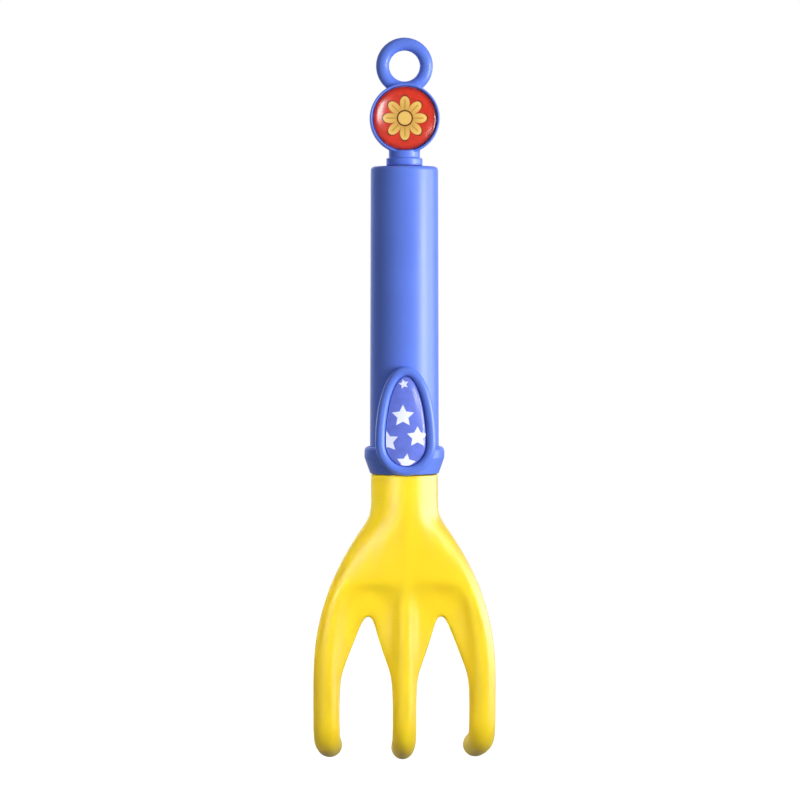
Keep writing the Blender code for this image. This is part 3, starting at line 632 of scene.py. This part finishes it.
def model_badge_print(surface):
    """The printed plate of the badge."""
    back, front = BADGE_PRINT
    draw_insert("badge_star_plate", front, BADGE_INSERT)
    draw_faces(front - back)
    plate = close_piece()
    add_modifier(plate, "BEVEL", width=PRINT_EDGE, segments=2, angle_limit=math.radians(50.0))
    finish_piece(plate, "badge_print", surface)


def model_badge_dome(surface):
    """The clear dome over the badge: rings drawn in and raised to a soft crown."""
    base, edge = BADGE_DOME
    draw_insert("badge_clear_dome", base, BADGE_INSERT)
    draw_edges(base - edge)
    middle = (0.0, -base, BADGE_CROWN_Z)
    share = 1.0
    height = 0.0
    for step in range(1, BADGE_DOME_STEPS):
        next_share = math.cos(step / BADGE_DOME_STEPS * math.pi / 2)
        next_height = crowned(next_share, BADGE_RISE)
        draw_edges(height - next_height)
        scale = next_share / share
        bpy.ops.transform.resize(value=(scale, 1.0, scale), center_override=middle)
        share = next_share
        height = next_height
    bpy.ops.mesh.edge_face_add()
    dome = close_piece()
    finish_piece(dome, "badge_dome", surface, DOME_SHARP_ANGLE)
    return dome


# Three-tine head


def between(first, second, share):
    return first + (second - first) * share


def within(share):
    return min(max(share, 0.0), 1.0)


def stepped(share):
    """Goes from 0 to 1 with level ends."""
    share = within(share)
    return share * share * (3 - 2 * share)


def tine_axis_y(z):
    return TINE_SETBACK + (CROTCH_Z - z) * math.tan(TINE_LEAN)


def round_tine(tine, angle):
    """Where a point lies round a tine's axis: to the right, and to the back. Angle 0 is the front."""
    turn = math.radians(angle)
    return TINE_HALF_WIDTHS[tine] * math.sin(turn), -TINE_HALF_DEPTH * math.cos(turn)


def palm_front(angle, z, under_arch):
    """How far behind the tine's axis the front lies: flat along the palm, then as it is under the arch."""
    start = ARCH_DROP + (ARCH_ROUND if abs(angle) == FOOT_ANGLE else 0.0)
    share = stepped((NECK_FOOT_Z - z - start) / ARCH_STEP)
    return between(PALM_VALLEY - TINE_HALF_DEPTH, under_arch, share)


def tine_point(tine, angle, z):
    """x and y of one point of a tine's section, with the webs that join it to its neighbours."""
    x, y = round_tine(tine, angle)
    side = 1 if angle > 0 else -1
    beside_web = 0 <= tine + side <= 2
    if beside_web and abs(angle) == SHOULDER_ANGLE:
        y = palm_front(angle, z, y)
    if beside_web and FOOT_ANGLE <= abs(angle) <= 120:
        web_x = (TINE_SPACING - CROTCH_GAP) / 2
        web_y = WEB_SETBACK + WEB_THICKNESS / 2
        if abs(angle) == FOOT_ANGLE:
            web_x = TINE_HALF_WIDTHS[tine] + WEB_FILLET
        if abs(angle) <= 90:
            web_y = palm_front(angle, z, WEB_SETBACK - WEB_THICKNESS / 2)
        share = within(1 - (CROTCH_Z - z) / WEB_LENGTH)
        x = between(x, side * web_x, share)
        y = between(y, web_y, share)
    return (tine - 1) * TINE_SPACING + x, tine_axis_y(z) + y


def head_row(z, angles, outward):
    """One row of points across the head from left to right. Outward is -1 in front, 1 at the back."""
    drop = NECK_FOOT_Z - z
    wide = 1 - (1 - within(drop / FLARE_LENGTH)) ** FLARE_POWER
    deep = 1 - (1 - within(drop / PALM_LENGTH)) ** DEPTH_POWER
    hollow = 0.0
    if outward > 0:
        hollow = PALM_HOLLOW * math.sin(math.pi * within(drop / PALM_LENGTH)) ** 2
    columns = 3 * len(angles)
    row = []
    for column in range(columns):
        tine, place = divmod(column, len(angles))
        turn = math.pi * (column + 0.5) / columns
        row_x, row_y = tine_point(tine, angles[place], z)
        x = between(-HEAD_NECK_RADIUS * math.cos(turn), row_x, wide)
        y = between(outward * HEAD_NECK_RADIUS * math.sin(turn), row_y, deep)
        row.append(Vector((x, y - hollow * math.sin(turn) ** 2, z)))
    return row


def head_ring(z):
    """The points of the head's section, left to right along the front and back again behind."""
    return head_row(z, FRONT_ANGLES, -1) + head_row(z, BACK_ANGLES, 1)[::-1]


def tine_columns(tine):
    """Which points of a section belong to one tine, going round it."""
    fronts = len(FRONT_ANGLES)
    backs = len(BACK_ANGLES)
    last = 3 * (fronts + backs) - 1
    front = [tine * fronts + k for k in range(fronts)]
    back = [last - tine * backs - k for k in range(backs)]
    return front + back[::-1]


def hook_rings(tine, bend_z):
    """Sections round the hook of a tine, to its rounded tip. The outer hooks turn in a little."""
    start_y = tine_axis_y(bend_z)
    places = []
    for step in range(1, HOOK_STEPS + 1):
        angle = between(TINE_LEAN, HOOK_ANGLE, step / HOOK_STEPS)
        y = start_y + HOOK_RADIUS * (math.cos(TINE_LEAN) - math.cos(angle))
        z = bend_z - HOOK_RADIUS * (math.sin(angle) - math.sin(TINE_LEAN))
        places.append((y, z, angle, 1.0))
    y, z, angle, _ = places[-1]
    for along, share in TIP_SHARES:
        length = HOOK_LENGTH + TIP_LENGTH * along
        places.append((y + length * math.sin(angle), z - length * math.cos(angle), angle, share))
    rings = []
    for y, z, angle, share in places:
        middle = (tine - 1) * (TINE_SPACING - (y - start_y) * math.tan(HOOK_TOE_IN))
        ring = []
        for turn in FRONT_ANGLES + BACK_ANGLES[::-1]:
            across, out = round_tine(tine, turn)
            out *= share
            place = (middle + across * share, y + out * math.cos(angle), z + out * math.sin(angle))
            ring.append(Vector(place))
        rings.append(dict(zip(tine_columns(tine), ring)))
    return rings


def tine_rings(tine):
    """All the sections of one tine below the crotch."""
    bend_z = CROTCH_Z - TINE_LENGTH - (MIDDLE_TINE_EXTRA if tine == 1 else 0.0)
    heights = [CROTCH_Z - WEB_LENGTH * step / WEB_STEPS for step in range(1, WEB_STEPS + 1)] + [bend_z]
    return [dict(enumerate(head_ring(z))) for z in heights] + hook_rings(tine, bend_z)


def place_ring(head, column, ring):
    """Moves the selected ring of the open head to its section's points."""
    form = bmesh.from_edit_mesh(head.data)
    layer = form.verts.layers.int[column]
    for vert in form.verts:
        if vert.select:
            vert.co = ring[vert[layer]]
    bmesh.update_edit_mesh(head.data)


def draw_down(head, column, ring):
    bpy.ops.mesh.extrude_edges_move(TRANSFORM_OT_translate={"value": (0.0, 0.0, -MM)})
    place_ring(head, column, ring)


def head_tang():
    """Two crossed ribs and the screw's boss, inside the grip."""
    low = HEAD_TOP_Z - TANG_ROOT
    tang = block("head_tang", (-TANG_RADIUS, -TANG_RIB / 2, low), (TANG_RADIUS, TANG_RIB / 2, TANG_TOP_Z))
    rib = block("tang_rib", (-TANG_RIB / 2, -TANG_RADIUS, low), (TANG_RIB / 2, TANG_RADIUS, TANG_TOP_Z))
    combine(tang, "UNION", rib)
    combine(tang, "UNION", rod("tang_boss", TANG_BOSS, TANG_BOSS_REACH, -TANG_BOSS_REACH, SCREW_Z))
    pilot = rod("tang_pilot", SCREW_SHANK_ROOM, 2 * TANG_RADIUS, TANG_RADIUS / 9, SCREW_Z)
    combine(tang, "DIFFERENCE", pilot)
    add_modifier(tang, "BEVEL", width=TANG_EDGE, segments=2, angle_limit=math.radians(40.0))
    return tang


def model_tine_head(surface):
    """A circle drawn down section by section into the palm, then split into three hooked tines."""
    deselect_everything()
    bpy.ops.mesh.primitive_circle_add(
        vertices=3 * (len(FRONT_ANGLES) + len(BACK_ANGLES)), radius=HEAD_NECK_RADIUS, location=MIDDLE
    )
    head = open_primitive("tine_head_moulding")
    column = "column"
    form = bmesh.from_edit_mesh(head.data)
    layer = form.verts.layers.int.new(column)
    for number, vert in enumerate(form.verts):
        vert[layer] = number
    bmesh.update_edit_mesh(head.data)
    place_ring(head, column, head_ring(HEAD_TOP_Z))
    arch_foot = ARCH_DROP + ARCH_STEP
    drops = [(HEAD_TOP_Z - NECK_FOOT_Z) / -2, 0.0]
    drops += [ARCH_DROP * step / 5 for step in range(1, 6)]
    drops += [arch_foot, (arch_foot + PALM_LENGTH) / 2, PALM_LENGTH]
    for drop in drops:
        draw_down(head, column, head_ring(NECK_FOOT_Z - drop))

    def at_crotch(vert, columns):
        form = bmesh.from_edit_mesh(head.data)
        return abs(vert.co.z - CROTCH_Z) < NEAR and vert[form.verts.layers.int[column]] in columns

    for left, right in ((0, 1), (1, 2)):
        left_columns = tine_columns(left)
        right_columns = tine_columns(right)
        fronts = len(FRONT_ANGLES)
        bridge = (left_columns[fronts - 1], left_columns[fronts], right_columns[0], right_columns[-1])
        pick(head, lambda vert: at_crotch(vert, bridge))
        bpy.ops.mesh.edge_face_add()
    for tine in range(3):
        columns = tine_columns(tine)
        pick(head, lambda vert: at_crotch(vert, columns))
        for ring in tine_rings(tine):
            draw_down(head, column, ring)
        bpy.ops.mesh.edge_face_add()
    pick(head, lambda vert: vert.co.z > HEAD_TOP_Z - NEAR)
    bpy.ops.mesh.edge_face_add()
    bpy.ops.transform.edge_crease(value=1.0)
    close_piece()
    add_modifier(head, "SUBSURF", levels=3, render_levels=3)
    add_modifier(head, "BEVEL", width=HEAD_EDGE, segments=3, angle_limit=math.radians(60.0))
    combine(head, "UNION", head_tang())
    finish_piece(head, "tine_head", surface, HEAD_SHARP_ANGLE)
    return head


# Materials


class Feed:
    """A value in a material's nodes. Sums written with it add their Math nodes."""

    def __init__(self, tree, socket=None):
        self.tree = tree
        self.socket = socket

    def node(self, kind, settings=None, sockets=None, output=0):
        """Adds a node: its settings come first, then the values or links of its sockets."""
        made = self.tree.nodes.new("ShaderNode" + kind)
        for name, setting in (settings or {}).items():
            setattr(made, name, setting)
        for name, value in (sockets or {}).items():
            if isinstance(value, Feed):
                self.tree.links.new(value.socket, made.inputs[name])
            else:
                made.inputs[name].default_value = value
        return Feed(self.tree, made.outputs[output])

    def sum(self, operation, first, second=0.0):
        return self.node("Math", {"operation": operation}, {0: first, 1: second})

    def __add__(self, other):
        return self.sum("ADD", self, other)

    def __radd__(self, other):
        return self.sum("ADD", other, self)

    def __sub__(self, other):
        return self.sum("SUBTRACT", self, other)

    def __rsub__(self, other):
        return self.sum("SUBTRACT", other, self)

    def __mul__(self, other):
        return self.sum("MULTIPLY", self, other)

    def __rmul__(self, other):
        return self.sum("MULTIPLY", other, self)

    def __truediv__(self, other):
        return self.sum("DIVIDE", self, other)

    def __pow__(self, other):
        return self.sum("POWER", self, other)

    def __abs__(self):
        return self.sum("ABSOLUTE", self)

    def clamped(self):
        return self.node("Math", {"operation": "ADD", "use_clamp": True}, {0: self, 1: 0.0})

    def most(self, other):
        return self.sum("MAXIMUM", self, other)

    def noise(self, place, scale, detail):
        return self.node("TexNoise", {}, {"Vector": place, "Scale": scale, "Detail": detail})

    def blend(self, first, second):
        """Mixes two colours by this value."""
        sockets = {0: self}
        for number, colour in ((6, first), (7, second)):
            sockets[number] = colour if isinstance(colour, Feed) else (*colour, 1.0)
        return self.node("Mix", {"data_type": "RGBA"}, sockets, output=2)


def new_surface(name):
    """A new material, with its first feed, its shader node and its output node."""
    surface = bpy.data.materials.new(name)
    surface.use_nodes = True
    tree = surface.node_tree
    return surface, Feed(tree), tree.nodes["Principled BSDF"], tree.nodes["Material Output"]


def set_sockets(shader, values):
    """Links feeds to a shader's sockets, and sets the plain numbers on them."""
    for name, value in values.items():
        if isinstance(value, Feed):
            value.tree.links.new(value.socket, shader.inputs[name])
        else:
            shader.inputs[name].default_value = value


def directions_of(place):
    """x, y and z of a place, as feeds."""
    return [place.node("SeparateXYZ", {}, {"Vector": place}, output=name) for name in "XYZ"]


def shade(colour, factor):
    return tuple(channel * factor for channel in colour)


def moulded_plastic(name, colour, seam_y, roughness, gloss, translucency):
    """Satin moulded plastic: flow clouds, a fine grain, hairline rubs and a parting line along seam_y."""
    surface, feed, shader, _ = new_surface(name)
    place = feed.node("TexCoord", output="Object")
    _, y, z = directions_of(place)
    clouds = feed.noise(place, 60.0, 3.0)
    peel = feed.noise(place, 380.0, 2.0)
    grain = feed.noise(place, 3200.0, 2.0)
    drawn = feed.node(
        "Mapping", {}, {"Vector": place, "Scale": (1.0, 1.0, 0.06), "Rotation": (0.0, 0.12, 0.0)}
    )
    rubs = ((feed.noise(drawn, 2100.0, 1.0) - 0.66) * 9.0).clamped()
    patches = ((feed.noise(place, 95.0, 2.0) - 0.5) * 3.0).clamped()
    wear = rubs * patches
    seam_width = 0.14 * MM
    seam = (1.0 - abs(y - seam_y(z)) / seam_width).clamped()
    tone = (0.5 + (clouds - 0.5) * 1.6 + (grain - 0.5) * 0.25).clamped()
    body = tone.blend(shade(colour, 0.93), shade(colour, 1.05))
    height = grain * 0.35 + peel * 0.9 + seam * 1.2 - wear * 0.25
    bump = feed.node("Bump", {}, {"Height": height, "Strength": 0.22, "Distance": 0.08 * MM})
    set_sockets(
        shader,
        {
            "Base Color": (wear * 0.22).blend(body, shade(colour, 1.12)),
            "Roughness": roughness + (clouds - 0.5) * 0.12 + (grain - 0.5) * 0.06 + wear * 0.12,
            "Normal": bump,
            "Specular IOR Level": gloss,
            "IOR": 1.49,
            "Subsurface Weight": translucency,
            "Subsurface Radius": (1.0, 0.75, 0.12),
            "Subsurface Scale": 7.0 * MM,
        },
    )
    return surface


def straight_seam(z):
    """A parting line in the plane of the grip's axis."""
    return 0.0


def head_seam(z):
    """The head's parting line: it moves forward down the palm and leans back along the tines."""
    palm = ((NECK_FOOT_Z - z) / PALM_LENGTH).clamped()
    below = (CROTCH_Z - z).most(0.0)
    return palm * TINE_SETBACK + below * math.tan(TINE_LEAN)


def soft_edge(distance, blur):
    """1 inside an outline, 0 outside, from a feed of how far outside a point is."""
    return (0.5 - distance / blur).clamped()


def daisy_print():
    """Red film with a gold eight-petalled daisy, and painted shade: a darker band at its edge."""
    surface, feed, shader, _ = new_surface("red_daisy_film")
    place = feed.node("TexCoord", output="Object")
    x, _, height = directions_of(place)
    z = height - MEDALLION_Z
    radius = feed.sum("SQRT", x * x + z * z)
    angle = feed.sum("ARCTAN2", z, x)
    lobes = abs(feed.sum("COSINE", angle * 4.0))
    reach = (3.0 + 4.3 * lobes**0.55) * MM
    outline = soft_edge(radius - reach - PETAL_LINE, 0.12 * MM)
    petals = soft_edge(radius - reach, 0.12 * MM)
    rib = (1.0 - (1.0 - lobes) * 26.0).clamped() * soft_edge(radius - PETAL_RIB_RADIUS, 0.5 * MM)
    heart_line = soft_edge(radius - HEART_LINE_RADIUS, 0.1 * MM)
    heart = soft_edge(radius - HEART_RADIUS, 0.1 * MM)
    mottle = feed.noise(place, 900.0, 3.0)
    speck = feed.noise(place, 5200.0, 1.0)
    tone = (0.5 + (mottle - 0.5) * 1.3 + (speck - 0.5) * 0.5).clamped()
    ground = tone.blend(shade(DISC_RED, 0.82), shade(DISC_RED, 1.12))
    # Painted shade: the red darkens towards the disc's edge, where the pocket wall and the dome's edge
    # shade it
    edge = ((radius - EDGE_SHADE_RADIUS) / EDGE_SHADE_WIDTH).clamped()
    ground = edge.blend(ground, PAINTED_EDGE_SHADE_RED)
    foil = (radius / PETAL_RADIUS + (speck - 0.5) * 0.5).clamped()
    gold = foil.blend(DAISY_GOLD, DAISY_PALE_GOLD)
    flower = (rib * 0.55).blend(gold, shade(DAISY_GOLD, 0.55))
    flower = heart_line.blend(flower, DAISY_BROWN)
    flower = heart.blend(flower, shade(DAISY_PALE_GOLD, 0.92))
    printed = outline.blend(ground, DAISY_BROWN)
    printed = petals.blend(printed, flower)
    bump = feed.node("Bump", {}, {"Height": petals + mottle * 0.1, "Strength": 0.3, "Distance": 0.05 * MM})
    set_sockets(
        shader,
        {
            "Base Color": printed,
            "Roughness": 0.42 - petals * 0.1 + (mottle - 0.5) * 0.08,
            "Metallic": petals * 0.25,
            "Normal": bump,
            "Specular IOR Level": 0.05,
        },
    )
    return surface


def star_mask(feed, x, z, star):
    """1 inside a five-pointed star, given its middle, its reach and its tilt."""
    middle_x, middle_z, reach, tilt = star
    across = x - middle_x
    up = z - middle_z
    radius = feed.sum("SQRT", across * across + up * up)
    angle = feed.sum("ARCTAN2", across, up) + (math.radians(tilt) + 6 * math.pi)
    point_turn = 2 * math.pi / 5
    turn = abs(feed.sum("MODULO", angle + point_turn / 2, point_turn) - point_turn / 2)
    notch = 0.5 * reach
    notch_along = notch * math.cos(math.pi / 5)
    notch_out = notch * math.sin(math.pi / 5)
    side = math.hypot(reach - notch_along, notch_out)
    along_share = notch_out / side
    out_share = (reach - notch_along) / side
    along = radius * feed.sum("COSINE", turn) - reach
    out = radius * feed.sum("SINE", turn)
    return soft_edge(along * along_share + out * out_share - 0.12 * MM, 0.16 * MM)


def star_print():
    """Violet-blue film printed with plain white stars."""
    surface, feed, shader, _ = new_surface("violet_star_film")
    place = feed.node("TexCoord", output="Object")
    x, _, z = directions_of(place)
    stars = None
    for star in STARS:
        mask = star_mask(feed, x, z, star)
        stars = mask if stars is None else stars.most(mask)
    mottle = feed.noise(place, 520.0, 3.0)
    speck = feed.noise(place, 5200.0, 1.0)
    tone = (0.5 + (mottle - 0.5) * 1.4 + (speck - 0.5) * 0.4).clamped()
    ground = tone.blend(shade(BADGE_VIOLET, 0.86), shade(BADGE_VIOLET, 1.12))
    ink = (0.5 + (mottle - 0.5) * 0.8).clamped().blend(shade(STAR_WHITE, 0.94), STAR_WHITE)
    bump = feed.node("Bump", {}, {"Height": stars + mottle * 0.15, "Strength": 0.25, "Distance": 0.03 * MM})
    set_sockets(
        shader,
        {
            "Base Color": stars.blend(ground, ink),
            "Roughness": 0.4 + (mottle - 0.5) * 0.1,
            "Normal": bump,
            "Specular IOR Level": 0.05,
        },
    )
    return surface


def clear_resin():
    """Poured clear resin: glass that lets the lamps through to the print, under a soft shine."""
    surface, feed, shader, output = new_surface("clear_resin")
    place = feed.node("TexCoord", output="Object")
    ripple = feed.noise(place, 240.0, 2.0)
    haze = feed.noise(place, 1500.0, 2.0)
    bump = feed.node("Bump", {}, {"Height": ripple, "Strength": 0.03, "Distance": 0.1 * MM})
    set_sockets(
        shader,
        {
            "Base Color": (0.985, 0.99, 0.995, 1.0),
            "Roughness": 0.03 + haze * 0.04,
            "Transmission Weight": 1.0,
            "IOR": 1.52,
            "Specular Tint": (0.0, 0.0, 0.0, 1.0),
            "Coat Weight": 1.0,
            "Coat Roughness": 0.22,
            "Coat IOR": 1.52,
            "Normal": bump,
        },
    )
    lamp_ray = feed.node("LightPath", output="Is Shadow Ray")
    clear = feed.node("BsdfTransparent", {}, {"Color": (0.96, 0.97, 0.98, 1.0)})
    mixed = feed.node("MixShader", {}, {0: lamp_ray, 1: Feed(feed.tree, shader.outputs[0]), 2: clear})
    feed.tree.links.new(mixed.socket, output.inputs["Surface"])
    return surface


def zinc_plate():
    """Bright zinc on the screw, with fine tool marks."""
    surface, feed, shader, _ = new_surface("zinc_plated_steel")
    place = feed.node("TexCoord", output="Object")
    cloud = feed.noise(place, 900.0, 3.0)
    marks = feed.node("Mapping", {}, {"Vector": place, "Scale": (1.0, 0.1, 1.0)})
    fine = feed.noise(marks, 6000.0, 2.0)
    bump = feed.node("Bump", {}, {"Height": fine, "Strength": 0.2, "Distance": 0.02 * MM})
    set_sockets(
        shader,
        {
            "Base Color": cloud.blend((0.56, 0.57, 0.59), (0.70, 0.71, 0.71)),
            "Metallic": 1.0,
            "Roughness": 0.26 + cloud * 0.16,
            "Normal": bump,
        },
    )
    return surface


# Studio


def ray(feed, kind):
    return feed.node("LightPath", output=kind)


def seen_directly(feed, mirrored):
    """1 for what the camera, a mirrored ray or clear resin shows, 0 for light on the object."""
    shown = ray(feed, "Is Camera Ray").most(ray(feed, "Is Transmission Ray"))
    shown = shown.most(ray(feed, "Is Glossy Ray") * mirrored)
    return shown * (1.0 - ray(feed, "Diffuse Depth")).clamped()


def lay_floor():
    """A pale floor below the tool, which takes its shadow."""
    deselect_everything()
    bpy.ops.mesh.primitive_plane_add(size=FLOOR_SIZE, location=(0.0, 0.0, FLOOR_Z))
    floor = open_primitive("studio_floor")
    close_piece()
    surface, feed, shader, _ = new_surface("pale_floor")
    shown = seen_directly(feed, FLOOR_MIRRORED)
    set_sockets(
        shader,
        {
            "Base Color": (0.22, 0.22, 0.22, 1.0),
            "Roughness": 0.9,
            "Specular IOR Level": 0.0,
            "Emission Color": shown.blend((0.0, 0.0, 0.0), (0.92, 0.92, 0.92)),
            "Emission Strength": 1.0,
        },
    )
    floor.data.materials.append(surface)


def hang_lamp(name, use, subject, place, size, watts, spread):
    """Hangs an unseen area lamp. It either lights surfaces or is only mirrored in them."""
    bpy.ops.object.light_add(type="AREA", location=place)
    lamp = bpy.context.object
    lamp.name = name
    lamp.data.shape = "RECTANGLE"
    lamp.data.size, lamp.data.size_y = size
    lamp.data.energy = watts
    lamp.data.spread = math.radians(spread)
    aim = Vector(LAMP_AIMS[subject])
    lamp.rotation_euler = (aim - Vector(place)).to_track_quat("-Z", "Y").to_euler()
    lamp.visible_camera = False
    lamp.visible_diffuse = use == "lights"
    lamp.visible_glossy = use == "shines"
    return lamp


def keep_to_piece(lamp, piece):
    """Keeps a lamp's light to one piece, as a flag beside it would."""
    reach = bpy.data.collections.new(lamp.name + "_reach")
    reach.objects.link(piece)
    lamp.light_linking.receiver_collection = reach


def light_studio(pieces):
    """Softboxes and cards for the whole tool, and a fill and shines that each reach only one piece."""
    for name, use, subject, place, size, watts, spread in LAMPS:
        lamp = hang_lamp(name, use, subject, place, size, watts, spread)
        if subject in pieces:
            keep_to_piece(lamp, pieces[subject])
            lamp.visible_transmission = use == "lights"


def paint_room():
    """A dim white room, which looks white to the camera and, behind the tool, in its gloss."""
    world = bpy.data.worlds.new("white_room")
    world.use_nodes = True
    bpy.context.scene.world = world
    tree = world.node_tree
    feed = Feed(tree)
    tree.nodes["Background"].inputs["Color"].default_value = (1.0, 1.0, 1.0, 1.0)
    _, backwards, _ = directions_of(feed.node("TexCoord", output="Generated"))
    backdrop = ((backwards - 0.6) * 3.0).clamped()
    lit = ROOM_DIM + ROOM_LIGHT * ray(feed, "Is Diffuse Ray")
    strength = lit + (1.0 - ROOM_DIM) * seen_directly(feed, backdrop)
    tree.links.new(strength.socket, tree.nodes["Background"].inputs["Strength"])


def set_camera():
    """A long lens in front of the tool, a little to its left and a little above it."""
    away = Vector(
        (
            math.sin(CAMERA_AZIMUTH) * math.cos(CAMERA_ELEVATION),
            -math.cos(CAMERA_AZIMUTH) * math.cos(CAMERA_ELEVATION),
            math.sin(CAMERA_ELEVATION),
        )
    )
    bpy.ops.object.camera_add(location=CAMERA_TARGET + away * CAMERA_DISTANCE)
    camera = bpy.context.object
    camera.name = "photo_camera"
    camera.rotation_euler = (-away).to_track_quat("-Z", "Y").to_euler()
    camera.data.sensor_width = SENSOR_WIDTH
    camera.data.lens = SENSOR_WIDTH * CAMERA_DISTANCE / PICTURE_HEIGHT
    camera.data.clip_start = 0.01
    bpy.context.scene.camera = camera


def main():
    set_camera()
    lay_floor()
    cap_blue = moulded_plastic(
        "blue_cap_plastic", GRIP_BLUE, straight_seam, roughness=0.36, gloss=0.62, translucency=0.0
    )
    sleeve_blue = moulded_plastic(
        "blue_grip_plastic", GRIP_BLUE, straight_seam, roughness=0.38, gloss=0.62, translucency=0.0
    )
    yellow = moulded_plastic(
        "yellow_claw_plastic", CLAW_YELLOW, head_seam, roughness=0.38, gloss=0.85, translucency=0.35
    )
    resin = clear_resin()
    model_hanger_cap(cap_blue)
    model_medallion_print(daisy_print())
    medallion_dome = model_medallion_dome(resin)
    model_grip_sleeve(sleeve_blue)
    model_collar(cap_blue)
    model_badge_print(star_print())
    badge_dome = model_badge_dome(resin)
    claw = model_tine_head(yellow)
    light_studio({"claw": claw, "medallion": medallion_dome, "badge": badge_dome})
    paint_room()
    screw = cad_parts["tang_screw"]
    screw.data.materials.clear()
    screw.data.materials.append(zinc_plate())
    scene = bpy.context.scene
    scene.view_settings.view_transform = "Standard"


main()
